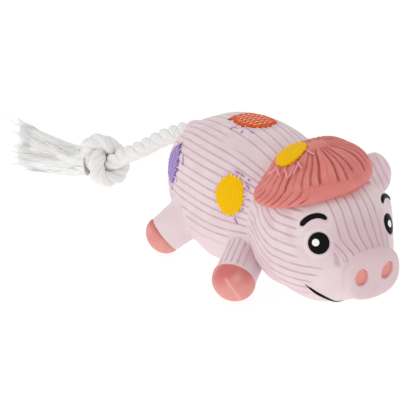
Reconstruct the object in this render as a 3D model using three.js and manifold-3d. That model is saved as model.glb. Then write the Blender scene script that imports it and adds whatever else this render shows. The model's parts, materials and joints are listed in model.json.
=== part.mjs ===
import * as THREE from "three";
import { mergeVertices } from "three/addons/utils/BufferGeometryUtils.js";
import Module from "manifold-3d";

const wasm = await Module();
wasm.setup();

// A squeaky dog toy: a moulded latex pig on four short legs, with fibre stuffing, a squeaker in its belly
// and a cotton rope for a tail. It faces -Y, its own left side is +X, and it stands on z = 0. Lengths are in
// millimetres. A name that ends in DEG is an angle in degrees, and one that ends in SHARE is a ratio.

// Clearances that the whole toy shares
const GAP = 0.3;
const OVERRUN = 2;
const WELD = 0.0001;
const STANDING_FLAT = 0.6;

// Torso
const TORSO_HALF_WIDTH = 36;
const TORSO_HALF_LENGTH = 52.5;
const TORSO_HALF_HEIGHT = 35.4;
const TORSO_FULLNESS_SHARE = 2.3;
const TORSO_SQUARENESS_SHARE = 2.45;
const BELLY_CLEARANCE = 0.8;
const SKIN_THICKNESS = 2.5;
const NECK_HOLE_RADIUS = 17;

// Head
const HEAD_HALF_WIDTH = 32.8;
const HEAD_HALF_LENGTH = 34;
const HEAD_HALF_HEIGHT = 32;
const HEAD_FULLNESS_SHARE = 2.4;
const HEAD_SQUARENESS_SHARE = 2.4;
const HEAD_TOP_DROP = 4.6;
const NAPE_DROP = 7.75;
const NAPE_LEAD = 26.5;

// Muzzle and snout
const MUZZLE_HALF_WIDTH = 23;
const MUZZLE_HALF_LENGTH = 25;
const MUZZLE_HALF_HEIGHT = 20;
const MUZZLE_FULLNESS_SHARE = 2.5;
const SNOUT_HALF_WIDTH = 16.2;
const SNOUT_HALF_HEIGHT = 13.8;
const SNOUT_OUT = 10;
const SNOUT_IN = 18;
const SNOUT_DROP = 5.5;
const SNOUT_STANDOFF = 4;
const SNOUT_FULLNESS_SHARE = 6;
const SNOUT_SQUARENESS_SHARE = 2.5;
const NOSTRIL_WIDTH = 6.4;
const NOSTRIL_HEIGHT = 8.5;
const NOSTRIL_SPACING = 15;
const NOSTRIL_DEPTH = 1.2;
const NOSTRIL_THICKNESS = 0.6;

// Eyes, brows and mouth
const EYE_WIDTH = 10.4;
const EYE_HEIGHT = 11.4;
const EYE_SPACING = 41.5;
const EYE_RISE = 10.8;
const EYE_THICKNESS = 0.8;
const GLINT_DIAMETER = 3.8;
const GLINT_OUT = 1.5;
const GLINT_UP = 1;
const GLINT_THICKNESS = 0.3;
const BROW_RADIUS = 7;
const BROW_WIDTH = 2.4;
const BROW_SPACING = 42.5;
const BROW_ASIDE = 1;
const BROW_RISE = 20.9;
const BROW_THICKNESS = 1;
const BROW_SWEEP_DEG = 105;
const BROW_TILT_DEG = 14;
const MOUTH_RADIUS = 31;
const MOUTH_WIDTH = 1;
const MOUTH_DROP = 25.8;
const MOUTH_THICKNESS = 0.4;
const MOUTH_SWEEP_DEG = 110;

// Left ear
const EAR_HALF_WIDTH = 9;
const EAR_HALF_HEIGHT = 12.5;
const EAR_HALF_THICKNESS = 3.5;
const EAR_OUT = 4.7;
const EAR_DROP = 12;
const EAR_SET_BACK = 5.5;
const EAR_FULLNESS_SHARE = 2.4;
const EAR_TILT_DEG = 28;

// Cap
const CAP_SET_BACK = 5;
const CAP_DROP = 6;
const CAP_ROLL_DEG = -9;
const CAP_NOD_DEG = -12;
const CROWN_HALF_WIDTH = 26.8;
const CROWN_HALF_HEIGHT = 14.3;
const CROWN_ASIDE = 1.1;
const CROWN_RISE = 4.5;
const CROWN_FULLNESS_SHARE = 2.15;
const BRIM_HALF_WIDTH = 29.5;
const BRIM_HALF_LENGTH = 29;
const BRIM_HALF_HEIGHT = 6;
const BRIM_EDGE = 1.5;
const BRIM_ASIDE = 2.5;
const BRIM_AHEAD = 0.5;
const BRIM_FULLNESS_SHARE = 2.5;

// Legs and foot tips
const LEG_ROOT_RADIUS = 11;
const FOOT_RADIUS = 10.3;
const FOOT_LENGTH = 9.5;
const LEG_ROOT_IN = 16;
const FRONT_LEG_ROOT_RISE = 26;
const FRONT_FOOT_OUT = 3.5;
const FRONT_TIP_COVER = 4;
const FRONT_ROOT_ALONG_SHARE = -0.6;
const FRONT_FOOT_ALONG_SHARE = -0.838;
const REAR_LEG_ROOT_RISE = 24;
const REAR_FOOT_OUT = 4.5;
const REAR_TIP_COVER = 1.5;
const REAR_ROOT_ALONG_SHARE = 0.24;
const REAR_FOOT_ALONG_SHARE = 0.41;

// Raised patches
const PATCH_THICKNESS = 1;
const PATCH_REACH = 9;
const BACK_PATCH_WIDTH = 21;
const BACK_PATCH_LENGTH = 22;
const BACK_PATCH_ASIDE_SHARE = 0.153;
const BACK_PATCH_ALONG_SHARE = 0.086;
const FLANK_PATCH_WIDTH = 16.5;
const FLANK_PATCH_HEIGHT = 20;
const FLANK_PATCH_ALONG_SHARE = -0.533;
const FLANK_PATCH_RISE_SHARE = 0.381;
const RUMP_PATCH_WIDTH = 15;
const RUMP_PATCH_HEIGHT = 20;
const RUMP_PATCH_ALONG_SHARE = 0.48;
const RUMP_PATCH_RISE_SHARE = 0.331;
const CAP_PATCH_WIDTH = 14.5;
const CAP_PATCH_HEIGHT = 17;
const CAP_PATCH_ASIDE = 11;
const CAP_PATCH_BEHIND = 0.5;
const PATCH_RAGGEDNESS_SHARE = 0.06;
const PATCH_POINTS = 9;

// Squeaker
const PLUG_RADIUS = 7.7;
const PLUG_RECESS = 1.2;
const PLUG_BORE_RADIUS = 3.3;
const FLANGE_RADIUS = 11;
const FLANGE_THICKNESS = 1.5;
const BELLOWS_RADIUS = 15;
const BELLOWS_FOLD_DEPTH = 3;
const BELLOWS_WALL = 0.8;
const BELLOWS_HEIGHT = 18;
const BELLOWS_LIP = 4;
const BELLOWS_FOLDS = 4;
const END_PLATE_RADIUS = 13;
const END_PLATE_THICKNESS = 1.5;
const POCKET_CLEARANCE = 1;
const REED_SEAT_HEIGHT = 12;
const REED_SEAT_STEM = 5;
const REED_WIDTH = 2.4;
const REED_THICKNESS = 0.25;
const REED_LENGTH = 6.2;
const AIR_SLOT_WIDTH = 1.4;
const AIR_SLOT_DEPTH = 1.4;
const REED_CLAMP_HEIGHT = 2;

// Rope tail
const ROPE_DIAMETER = 10;
const TAIL_RISE = 13;
const TAIL_PITCH_DEG = 4;
const COLLAR_OUT = 2.5;
const COLLAR_WALL = 2;
const COLLAR_ROUND = 0.8;
const BEND_CLEARANCE = 4;
const HINGE_SLACK = 0.7;
const STOPPER_RADIUS = 9;
const STOPPER_SLACK = 1.6;
const ROOT_STRETCH = 20;
const KNOT_RADIUS = 12.8;
const TASSEL_RADIUS = 11.5;
const TASSEL_LENGTH = 44;
const TASSEL_FLATNESS_SHARE = 0.92;
const TASSEL_TURN_DEG = 40;
const TASSEL_DROOP_DEG = 2.5;
const TASSEL_OUTLINE_SHARES = [[0.55, 0.1], [0.75, 0.3], [0.95, 0.55], [1, 0.75], [0.8, 0.94], [0, 1]];
const ROPE_SIDES = 12;
const ROPE_ROOT_STEPS = 3;
const ROPE_FREE_STEPS = 6;
const BALL_SIDES = 12;
const CUT_SIDES = 16;
const KNOT_CUT_SIDES = 32;

// The line of the free rope, from just outside its collar to the middle of its knot, as it lies
const ROPE_ROUTE = [
  [-1.6, 64.5, 46.6],
  [-5.5, 79.5, 38.5],
  [-11, 96.5, 27],
  [-16, 112, 18],
  [-19, 124.5, 13],
];

// A body of this squareness has a round section
const ROUND_SHARE = 2;

// How finely the round forms are drawn
const FINE = { rings: 16, sides: 32 };
const MEDIUM = { rings: 12, sides: 24 };
const COARSE = { rings: 8, sides: 16 };
const OUTLINE_POINTS = 16;

// Colours and finishes, by material
const FINISHES = {
  pink_latex: { color: 0xe6d0d6, roughness: 0.55, metalness: 0 },
  snout_latex: { color: 0xecd2d6, roughness: 0.5, metalness: 0 },
  rose_latex: { color: 0xd98680, roughness: 0.55, metalness: 0 },
  yellow_latex: { color: 0xf2be10, roughness: 0.6, metalness: 0 },
  orange_latex: { color: 0xf06a20, roughness: 0.6, metalness: 0 },
  purple_latex: { color: 0x9b7dc8, roughness: 0.6, metalness: 0 },
  black_paint: { color: 0x141014, roughness: 0.25, metalness: 0 },
  white_paint: { color: 0xf8f8f8, roughness: 0.3, metalness: 0 },
  rope_cotton: { color: 0xeeeeec, roughness: 0.95, metalness: 0 },
  fibre_fill: { color: 0xf4f4f2, roughness: 1, metalness: 0 },
  squeaker_plastic: { color: 0xf1efe8, roughness: 0.4, metalness: 0 },
  reed_plastic: { color: 0xd8d4c8, roughness: 0.35, metalness: 0 },
};

/** Turns a closed three.js geometry into a solid. */
function solidFrom(geometry) {
  const bare = geometry.index ? geometry.toNonIndexed() : geometry.clone();
  bare.deleteAttribute("normal");
  bare.deleteAttribute("uv");
  const merged = mergeVertices(bare, WELD);
  const corners = merged.index.array;
  const kept = [];
  for (let i = 0; i < corners.length; i += 3) {
    const [a, b, c] = [corners[i], corners[i + 1], corners[i + 2]];
    if (a !== b && b !== c && c !== a) kept.push(a, b, c);
  }
  return new wasm.Manifold(
    new wasm.Mesh({
      numProp: 3,
      vertProperties: merged.attributes.position.array,
      triVerts: new Uint32Array(kept),
    }),
  );
}

/** Turns a solid into a flat-shaded three.js geometry. */
function geometryFrom(solid) {
  const mesh = solid.getMesh();
  const geometry = new THREE.BufferGeometry();
  geometry.setAttribute("position", new THREE.BufferAttribute(new Float32Array(mesh.vertProperties), 3));
  geometry.setIndex(new THREE.BufferAttribute(new Uint32Array(mesh.triVerts), 1));
  const faceted = geometry.toNonIndexed();
  faceted.computeVertexNormals();
  return faceted;
}

/** Keeps the largest separate body of a solid. */
function largestBody(solid) {
  return solid.decompose().reduce((largest, body) => (body.volume() > largest.volume() ? body : largest));
}

/** Takes each of several solids away from the first. */
function cutBy(solid, ...tools) {
  return tools.reduce((left, tool) => left.subtract(tool), solid);
}

/** Raises a number of either sign to a power and keeps its sign. */
function signedPower(value, power) {
  return Math.sign(value) * Math.abs(value) ** power;
}

/** A round body that swells between two ends, fuller than an ellipse along Y and across. */
class SwellingBody {
  constructor({ centre, halfWidth, halfLength, halfHeight, fullness, squareness, rings, sides }) {
    Object.assign(this, { centre, halfWidth, halfLength, halfHeight, fullness, squareness, rings, sides });
  }

  /** The same body, thicker all round by a length. */
  grown(by) {
    return new SwellingBody({
      ...this,
      halfWidth: this.halfWidth + by,
      halfLength: this.halfLength + by,
      halfHeight: this.halfHeight + by,
    });
  }

  solid() {
    const outline = [];
    for (let ring = 0; ring <= this.rings; ring++) {
      const angle = (Math.PI * ring) / this.rings;
      const out = ring % this.rings === 0 ? 0 : Math.sin(angle) ** (2 / this.fullness);
      outline.push(new THREE.Vector2(out, -signedPower(Math.cos(angle), 2 / this.fullness)));
    }
    const geometry = new THREE.LatheGeometry(outline, this.sides);
    const places = geometry.attributes.position;
    for (let i = 0; i < places.count; i++) {
      const [x, z] = [places.getX(i), places.getZ(i)];
      const reach = Math.hypot(x, z);
      const section = Math.abs(x) ** this.squareness + Math.abs(z) ** this.squareness;
      const squared = section ** (1 / this.squareness);
      const wider = reach === 0 ? 0 : reach / squared;
      places.setX(i, x * wider);
      places.setZ(i, z * wider);
    }
    geometry.scale(this.halfWidth, this.halfLength, this.halfHeight);
    geometry.translate(...this.centre);
    return solidFrom(geometry);
  }

  /** The share of the half length at which the surface lies for a place across and up from the centre. */
  #alongShare(across, up) {
    const acrossShare = Math.abs(across / this.halfWidth) ** this.squareness;
    const upShare = Math.abs(up / this.halfHeight) ** this.squareness;
    return (1 - (acrossShare + upShare) ** (this.fullness / this.squareness)) ** (1 / this.fullness);
  }

  /** The surface's place in front of a point that lies across and up from the centre. */
  front(across, up) {
    const along = this.halfLength * this.#alongShare(across, up);
    return this.centre.clone().add(new THREE.Vector3(across, -along, up));
  }

  /** The surface's place behind a point that lies across and up from the centre. */
  back(across, up) {
    const along = this.halfLength * this.#alongShare(across, up);
    return this.centre.clone().add(new THREE.Vector3(across, along, up));
  }

  /** The share that is left for the cross-section at a place along the body. */
  #sectionShare(along) {
    return (1 - Math.abs(along / this.halfLength) ** this.fullness) ** (this.squareness / this.fullness);
  }

  /** How far the surface lies out sideways from the centre, for a place along and up from it. */
  sideReach(along, up) {
    const left = this.#sectionShare(along) - Math.abs(up / this.halfHeight) ** this.squareness;
    return this.halfWidth * left ** (1 / this.squareness);
  }

  /** How far the surface lies over or under the centre, for a place across and along from it. */
  heightReach(across, along) {
    const left = this.#sectionShare(along) - Math.abs(across / this.halfWidth) ** this.squareness;
    return this.halfHeight * left ** (1 / this.squareness);
  }

  /** The direction that points straight out of the surface at a point on it. */
  outward(point) {
    const from = point.clone().sub(this.centre);
    const [x, y, z] = [from.x / this.halfWidth, from.y / this.halfLength, from.z / this.halfHeight];
    const section = Math.abs(x) ** this.squareness + Math.abs(z) ** this.squareness;
    const swell = section ** (this.fullness / this.squareness - 1);
    return new THREE.Vector3(
      (swell * signedPower(x, this.squareness - 1)) / this.halfWidth,
      signedPower(y, this.fullness - 1) / this.halfLength,
      (swell * signedPower(z, this.squareness - 1)) / this.halfHeight,
    ).normalize();
  }

  /** The thin layer that lies over the body, clear of it. */
  layer(thickness) {
    return this.grown(GAP + thickness).solid().subtract(this.grown(GAP).solid());
  }
}

/** A frame whose +Z points along one direction and whose +Y is as near as it can be to another. */
function frameAlong(place, direction, upright) {
  const z = direction.clone().normalize();
  const y = upright.clone().addScaledVector(z, -upright.dot(z)).normalize();
  return new THREE.Matrix4().makeBasis(y.clone().cross(z), y, z).setPosition(place);
}

/** Moves a solid from its own frame into another. */
function placed(solid, frame) {
  return solid.transform(frame.elements);
}

/** A straight block with the given outline, from below to above its own frame's plane. */
function prism(shape, below, above) {
  const geometry = new THREE.ExtrudeGeometry(shape, { depth: above + below, bevelEnabled: false, steps: 1 });
  geometry.translate(0, 0, -below);
  return solidFrom(geometry);
}

/** A ring-shaped or round body from an outline of [radius, height] pairs, upright along Z. */
function turned(outline, sides) {
  const points = outline.map(([radius, height]) => new THREE.Vector2(radius, height));
  const geometry = new THREE.LatheGeometry(points, sides);
  geometry.rotateX(Math.PI / 2);
  return solidFrom(geometry);
}

/** A ring from an outline of [radius, height] pairs that doesn't reach the axis. */
function ring(outline, sides) {
  return turned([...outline, outline[0]], sides);
}

/** An upright cylinder from one height to another. */
function cylinder(radius, bottom, top, sides) {
  return turned([[0, bottom], [radius, bottom], [radius, top], [0, top]], sides);
}

/** A round ball. */
function ball(centre, radius, sides) {
  const geometry = new THREE.SphereGeometry(radius, sides, sides / 2);
  geometry.translate(...centre);
  return solidFrom(geometry);
}

/** A box from two opposite corners. */
function block(from, to) {
  const geometry = new THREE.BoxGeometry(to[0] - from[0], to[1] - from[1], to[2] - from[2]);
  geometry.translate((to[0] + from[0]) / 2, (to[1] + from[1]) / 2, (to[2] + from[2]) / 2);
  return solidFrom(geometry);
}

/** An oval outline. */
function oval(width, height) {
  const points = [];
  for (let i = 0; i < OUTLINE_POINTS; i++) {
    const angle = (2 * Math.PI * i) / OUTLINE_POINTS;
    points.push(new THREE.Vector2((width / 2) * Math.cos(angle), (height / 2) * Math.sin(angle)));
  }
  return new THREE.Shape(points);
}

/** An oval outline whose edge waves in and out, as a torn patch's does. */
function raggedOval(width, height) {
  const points = [];
  for (let i = 0; i < 2 * OUTLINE_POINTS; i++) {
    const angle = (Math.PI * i) / OUTLINE_POINTS;
    const reach = (1 + PATCH_RAGGEDNESS_SHARE * Math.sin(PATCH_POINTS * angle)) / 2;
    points.push(new THREE.Vector2(width * reach * Math.cos(angle), height * reach * Math.sin(angle)));
  }
  return new THREE.Shape(points);
}

/** The outline of a bent band with square ends, centred on +Y, or on -Y for a negative radius. */
function bentBand(radius, width, sweepDeg) {
  const middle = radius > 0 ? Math.PI / 2 : -Math.PI / 2;
  const half = THREE.MathUtils.degToRad(sweepDeg) / 2;
  const shape = new THREE.Shape();
  shape.absarc(0, 0, Math.abs(radius) + width / 2, middle - half, middle + half, false);
  shape.absarc(0, 0, Math.abs(radius) - width / 2, middle + half, middle - half, true);
  return shape;
}

const UP = new THREE.Vector3(0, 0, 1);
const AHEAD = new THREE.Vector3(0, -1, 0);

const torso = new SwellingBody({
  centre: new THREE.Vector3(0, 0, BELLY_CLEARANCE + TORSO_HALF_HEIGHT),
  halfWidth: TORSO_HALF_WIDTH,
  halfLength: TORSO_HALF_LENGTH,
  halfHeight: TORSO_HALF_HEIGHT,
  fullness: TORSO_FULLNESS_SHARE,
  squareness: TORSO_SQUARENESS_SHARE,
  ...FINE,
});

// The nape: where the torso's back comes down to the head
const headTop = torso.centre.z + torso.halfHeight - HEAD_TOP_DROP;
const nape = torso.front(0, torso.halfHeight - NAPE_DROP);
const head = new SwellingBody({
  centre: nape.clone().setY(nape.y - NAPE_LEAD).setZ(headTop - HEAD_HALF_HEIGHT),
  halfWidth: HEAD_HALF_WIDTH,
  halfLength: HEAD_HALF_LENGTH,
  halfHeight: HEAD_HALF_HEIGHT,
  fullness: HEAD_FULLNESS_SHARE,
  squareness: HEAD_SQUARENESS_SHARE,
  ...FINE,
});

const snout = new SwellingBody({
  centre: new THREE.Vector3(
    0,
    head.centre.y - head.halfLength - SNOUT_OUT + (SNOUT_OUT + SNOUT_IN) / 2,
    head.centre.z - SNOUT_DROP,
  ),
  halfWidth: SNOUT_HALF_WIDTH,
  halfLength: (SNOUT_OUT + SNOUT_IN) / 2,
  halfHeight: SNOUT_HALF_HEIGHT,
  fullness: SNOUT_FULLNESS_SHARE,
  squareness: SNOUT_SQUARENESS_SHARE,
  ...MEDIUM,
});

const muzzleFront = head.centre.y - head.halfLength - SNOUT_OUT + SNOUT_STANDOFF;
const muzzle = new SwellingBody({
  centre: snout.centre.clone().setY(muzzleFront + MUZZLE_HALF_LENGTH),
  halfWidth: MUZZLE_HALF_WIDTH,
  halfLength: MUZZLE_HALF_LENGTH,
  halfHeight: MUZZLE_HALF_HEIGHT,
  fullness: MUZZLE_FULLNESS_SHARE,
  squareness: ROUND_SHARE,
  ...MEDIUM,
});

/** The head with its muzzle, thicker all round by a length. */
function headBlank(by) {
  return head.grown(by).solid().add(muzzle.grown(by).solid());
}

const torsoCut = torso.grown(GAP).solid();
const headCut = headBlank(GAP);
const torsoHollow = torso.grown(-SKIN_THICKNESS);

const pig = new THREE.Group();

/** Adds a piece to the toy under its name, in a finish. */
function add(name, finish, solid) {
  const mesh = new THREE.Mesh(geometryFrom(solid), new THREE.MeshStandardMaterial(FINISHES[finish]));
  mesh.name = name;
  pig.add(mesh);
}

// Tail exit: where the rope leaves the rump, and the way it points there
const ropeRadius = ROPE_DIAMETER / 2;
const boreRadius = ropeRadius + GAP;
const hingeRadius = ropeRadius + HINGE_SLACK;
const tailPlace = torso.back(0, TAIL_RISE);
const tailPitch = THREE.MathUtils.degToRad(TAIL_PITCH_DEG);
const tailWay = new THREE.Vector3(0, Math.cos(tailPitch), Math.sin(tailPitch));
const tailFrame = frameAlong(tailPlace, tailWay, UP);
const bendOut = COLLAR_OUT + BEND_CLEARANCE;
const stopperIn = (SKIN_THICKNESS + STOPPER_SLACK + STOPPER_RADIUS) / tailWay.dot(torso.outward(tailPlace));

// Squeaker: the heights at which its pieces are stacked on the belly
const plugBottom = BELLY_CLEARANCE + PLUG_RECESS;
const flangeBottom = torsoHollow.centre.z - torsoHollow.heightReach(FLANGE_RADIUS, 0) + GAP;
const flangeTop = flangeBottom + FLANGE_THICKNESS;
const bellowsBottom = flangeTop + GAP;
const bellowsTop = bellowsBottom + BELLOWS_HEIGHT;
const endPlateBottom = bellowsTop + GAP;
const endPlateTop = endPlateBottom + END_PLATE_THICKNESS;

/** The skin of the torso, open at the neck, under the belly and at the tail. */
function bodyShell() {
  const neckHole = placed(
    cylinder(NECK_HOLE_RADIUS, 0, TORSO_HALF_LENGTH + OVERRUN, COARSE.sides),
    frameAlong(torso.centre, AHEAD, UP),
  );
  const bellyHole = cylinder(PLUG_RADIUS + GAP, -OVERRUN, torso.centre.z, COARSE.sides);
  const tailHole = placed(cylinder(boreRadius, -stopperIn, OVERRUN, CUT_SIDES), tailFrame);
  return largestBody(cutBy(torso.solid(), torsoHollow.solid(), neckHole, bellyHole, tailHole));
}

/** The skin of the head, open behind where it joins the torso. */
function headShell() {
  return largestBody(cutBy(headBlank(0), headBlank(-SKIN_THICKNESS), torsoCut));
}

/** The frame of one nostril, on the flat front of the snout. */
function nostrilFrame(side) {
  const front = snout.centre.y - snout.halfLength;
  return frameAlong(new THREE.Vector3((side * NOSTRIL_SPACING) / 2, front, snout.centre.z), AHEAD, UP);
}

function nostrilHollow(side) {
  const wider = oval(NOSTRIL_WIDTH + 2 * GAP, NOSTRIL_HEIGHT + 2 * GAP);
  return placed(prism(wider, NOSTRIL_DEPTH, OVERRUN), nostrilFrame(side));
}

function nostril(side) {
  const floor = NOSTRIL_DEPTH - GAP;
  const disc = prism(oval(NOSTRIL_WIDTH, NOSTRIL_HEIGHT), floor, NOSTRIL_THICKNESS - floor);
  return placed(disc, nostrilFrame(side));
}

/** The snout: a rounded square block that stands out of the muzzle, with its nostrils sunk in the front. */
function snoutBlock() {
  return largestBody(cutBy(snout.solid(), headCut, nostrilHollow(-1), nostrilHollow(1)));
}

/** A thin raised detail on a body: the part of the layer over it that an outline cuts out at a place. */
function raised(body, thickness, shape, frame) {
  return largestBody(body.layer(thickness).intersect(placed(prism(shape, PATCH_REACH, PATCH_REACH), frame)));
}

/** The frame of an eye, on the side of the head that the sign gives. */
function eyeFrame(side, outward, upward) {
  const place = head.front(side * (EYE_SPACING / 2 + outward), EYE_RISE + upward);
  return frameAlong(place, head.outward(place), UP);
}

function eye(side) {
  return raised(head, EYE_THICKNESS, oval(EYE_WIDTH, EYE_HEIGHT), eyeFrame(side, 0, 0));
}

function glint(side) {
  const over = head.grown(GAP + EYE_THICKNESS);
  const outline = oval(GLINT_DIAMETER, GLINT_DIAMETER);
  return raised(over, GLINT_THICKNESS, outline, eyeFrame(side, GLINT_OUT, GLINT_UP));
}

function brow(side) {
  const place = head.front(BROW_ASIDE + (side * BROW_SPACING) / 2, BROW_RISE);
  const tilt = new THREE.Matrix4().makeRotationZ(THREE.MathUtils.degToRad(side * -BROW_TILT_DEG));
  const drop = new THREE.Matrix4().makeTranslation(0, -BROW_RADIUS, 0);
  const frame = frameAlong(place, head.outward(place), UP).multiply(tilt).multiply(drop);
  return raised(head, BROW_THICKNESS, bentBand(BROW_RADIUS, BROW_WIDTH, BROW_SWEEP_DEG), frame);
}

/** The mouth line: a smile that is an arc from the front and lies on the head below the snout. */
function mouth() {
  const place = head.centre.clone().add(new THREE.Vector3(0, -head.halfLength, MOUTH_RADIUS - MOUTH_DROP));
  const frame = frameAlong(place, AHEAD, UP);
  const band = prism(bentBand(-MOUTH_RADIUS, MOUTH_WIDTH, MOUTH_SWEEP_DEG), head.halfLength, OVERRUN);
  const snoutCut = snout.grown(GAP).solid();
  return largestBody(head.layer(MOUTH_THICKNESS).intersect(placed(band, frame)).subtract(snoutCut));
}

/** The crown and the brim of the cap, which sits askew, lower on the pig's right. */
function capBodies() {
  const frame = new THREE.Matrix4()
    .makeTranslation(0, head.centre.y + CAP_SET_BACK, headTop - CAP_DROP)
    .multiply(new THREE.Matrix4().makeRotationY(THREE.MathUtils.degToRad(CAP_ROLL_DEG)))
    .multiply(new THREE.Matrix4().makeRotationX(THREE.MathUtils.degToRad(CAP_NOD_DEG)))
    .multiply(new THREE.Matrix4().makeRotationX(Math.PI / 2));
  const round = { squareness: ROUND_SHARE, ...MEDIUM };
  const brim = new SwellingBody({
    centre: new THREE.Vector3(-BRIM_ASIDE, 0, BRIM_AHEAD),
    halfWidth: BRIM_HALF_WIDTH,
    halfLength: BRIM_HALF_HEIGHT,
    halfHeight: BRIM_HALF_LENGTH,
    fullness: BRIM_FULLNESS_SHARE,
    ...round,
  });
  const crown = new SwellingBody({
    centre: new THREE.Vector3(CROWN_ASIDE, CROWN_RISE, 0),
    halfWidth: CROWN_HALF_WIDTH,
    halfLength: CROWN_HALF_HEIGHT,
    halfHeight: CROWN_HALF_WIDTH,
    fullness: CROWN_FULLNESS_SHARE,
    ...round,
  });
  return { frame, brim, crown };
}

const cap = capBodies();

/** The brim before the head is taken out of it, cut straight just under its widest line. */
function brimBlank(by) {
  const reach = BRIM_HALF_WIDTH + BRIM_HALF_LENGTH;
  const under = block([-reach, -reach, -reach], [reach, -BRIM_EDGE - by, reach]);
  return placed(cap.brim.grown(by).solid().subtract(under), cap.frame);
}

const brimSolid = largestBody(cutBy(brimBlank(0), headCut, torsoCut));
const brimCut = brimBlank(GAP);
const crownSolid = largestBody(cutBy(placed(cap.crown.solid(), cap.frame), brimCut, headCut, torsoCut));
const crownCut = placed(cap.crown.grown(GAP).solid(), cap.frame);

/** The left ear: a thick flap that hangs outward from under the cap. */
function leftEar() {
  const flap = new SwellingBody({
    centre: new THREE.Vector3(0, 0, 0),
    halfWidth: EAR_HALF_WIDTH,
    halfLength: EAR_HALF_THICKNESS,
    halfHeight: EAR_HALF_HEIGHT,
    fullness: EAR_FULLNESS_SHARE,
    squareness: ROUND_SHARE,
    ...COARSE,
  });
  const frame = new THREE.Matrix4()
    .makeTranslation(head.halfWidth + EAR_OUT, head.centre.y + EAR_SET_BACK, headTop - EAR_DROP)
    .multiply(new THREE.Matrix4().makeRotationY(THREE.MathUtils.degToRad(-EAR_TILT_DEG)));
  return largestBody(cutBy(placed(flap.solid(), frame), headCut, torsoCut, crownCut, brimCut));
}

/** A leg and its foot tip: a bar with a domed end, whose tip is the part beyond a straight cut. */
function limb({ side, rootRise, rootAlong, footOut, footAlong, tipCover }) {
  const rootOut = TORSO_HALF_WIDTH - LEG_ROOT_IN;
  const root = new THREE.Vector3(side * rootOut, rootAlong * TORSO_HALF_LENGTH, rootRise);
  const footReach = side * (TORSO_HALF_WIDTH + footOut);
  const foot = new THREE.Vector3(footReach, footAlong * TORSO_HALF_LENGTH, FOOT_RADIUS);
  const steepness = Math.asin((root.z - foot.z) / foot.distanceTo(root));
  foot.setZ(Math.hypot(FOOT_RADIUS * Math.cos(steepness), FOOT_LENGTH * Math.sin(steepness)) - STANDING_FLAT);
  const frame = frameAlong(root, foot.clone().sub(root), UP);
  const length = foot.distanceTo(root);
  const outline = [[0, 0], [LEG_ROOT_RADIUS, 0]];
  for (let step = 0; step <= MEDIUM.rings / 2; step++) {
    const angle = (Math.PI * step) / MEDIUM.rings;
    const radius = step === MEDIUM.rings / 2 ? 0 : FOOT_RADIUS * Math.cos(angle);
    outline.push([radius, length + FOOT_LENGTH * Math.sin(angle)]);
  }
  const reach = TORSO_HALF_LENGTH + TORSO_HALF_WIDTH;
  const floor = block([-reach, -reach, -reach], [reach, reach, 0]);
  const whole = cutBy(placed(turned(outline, COARSE.sides), frame), torsoCut, headCut, floor);
  const cut = length - tipCover;
  const wide = LEG_ROOT_RADIUS + OVERRUN;
  const beyond = placed(cylinder(wide, cut, length + FOOT_LENGTH + OVERRUN, COARSE.sides), frame);
  const before = placed(cylinder(wide, -OVERRUN, cut + GAP, COARSE.sides), frame);
  return { leg: largestBody(whole.subtract(beyond)), tip: largestBody(whole.subtract(before)) };
}

/** The patch on the back, a little to the pig's left. */
function backPatch() {
  const across = BACK_PATCH_ASIDE_SHARE * torso.halfWidth;
  const along = BACK_PATCH_ALONG_SHARE * torso.halfLength;
  const place = torso.centre.clone().add(new THREE.Vector3(across, along, torso.heightReach(across, along)));
  const outline = raggedOval(BACK_PATCH_WIDTH, BACK_PATCH_LENGTH);
  return raised(torso, PATCH_THICKNESS, outline, frameAlong(place, torso.outward(place), AHEAD));
}

/** A patch on the pig's right side, at shares of the torso's half length and half height from its middle. */
function sidePatch(alongShare, riseShare, width, height) {
  const along = alongShare * torso.halfLength;
  const up = riseShare * torso.halfHeight;
  const place = torso.centre.clone().add(new THREE.Vector3(-torso.sideReach(along, up), along, up));
  const frame = frameAlong(place, torso.outward(place), UP);
  return raised(torso, PATCH_THICKNESS, raggedOval(width, height), frame);
}

/** The patch on the cap's crown. */
function capPatch() {
  const place = cap.crown.back(-CAP_PATCH_ASIDE, -CAP_PATCH_BEHIND);
  const frame = frameAlong(place, cap.crown.outward(place), UP);
  const outline = raggedOval(CAP_PATCH_WIDTH, CAP_PATCH_HEIGHT);
  return placed(raised(cap.crown, PATCH_THICKNESS, outline, frame), cap.frame);
}

/** A ball round the rope's stopper knot, inside the rump. */
function stopperBall(radius, sides) {
  return placed(ball(new THREE.Vector3(0, 0, -stopperIn), radius, sides), tailFrame);
}

/** The loose fibre in the torso, with a pocket round the squeaker and one round the rope's stopper knot. */
function bodyStuffing() {
  const pocket = cylinder(BELLOWS_RADIUS + POCKET_CLEARANCE, -OVERRUN, endPlateTop + GAP, COARSE.sides);
  const ropePocket = placed(cylinder(boreRadius, -stopperIn, OVERRUN, ROPE_SIDES), tailFrame);
  const fill = new SwellingBody({ ...torso.grown(-SKIN_THICKNESS - GAP), ...MEDIUM });
  const knotPocket = stopperBall(STOPPER_RADIUS + GAP, COARSE.sides);
  return largestBody(cutBy(fill.solid(), pocket, knotPocket, ropePocket));
}

/** The loose fibre in the head. */
function headStuffing() {
  return largestBody(headBlank(-SKIN_THICKNESS - GAP).subtract(torsoCut));
}

/** The squeaker's plug: a bored stem in the belly hole with a flange inside the skin. */
function squeakerPlug() {
  return ring(
    [
      [PLUG_BORE_RADIUS, plugBottom],
      [PLUG_RADIUS, plugBottom],
      [PLUG_RADIUS, flangeBottom],
      [FLANGE_RADIUS, flangeBottom],
      [FLANGE_RADIUS, flangeTop],
      [PLUG_BORE_RADIUS, flangeTop],
    ],
    COARSE.sides,
  );
}

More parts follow.
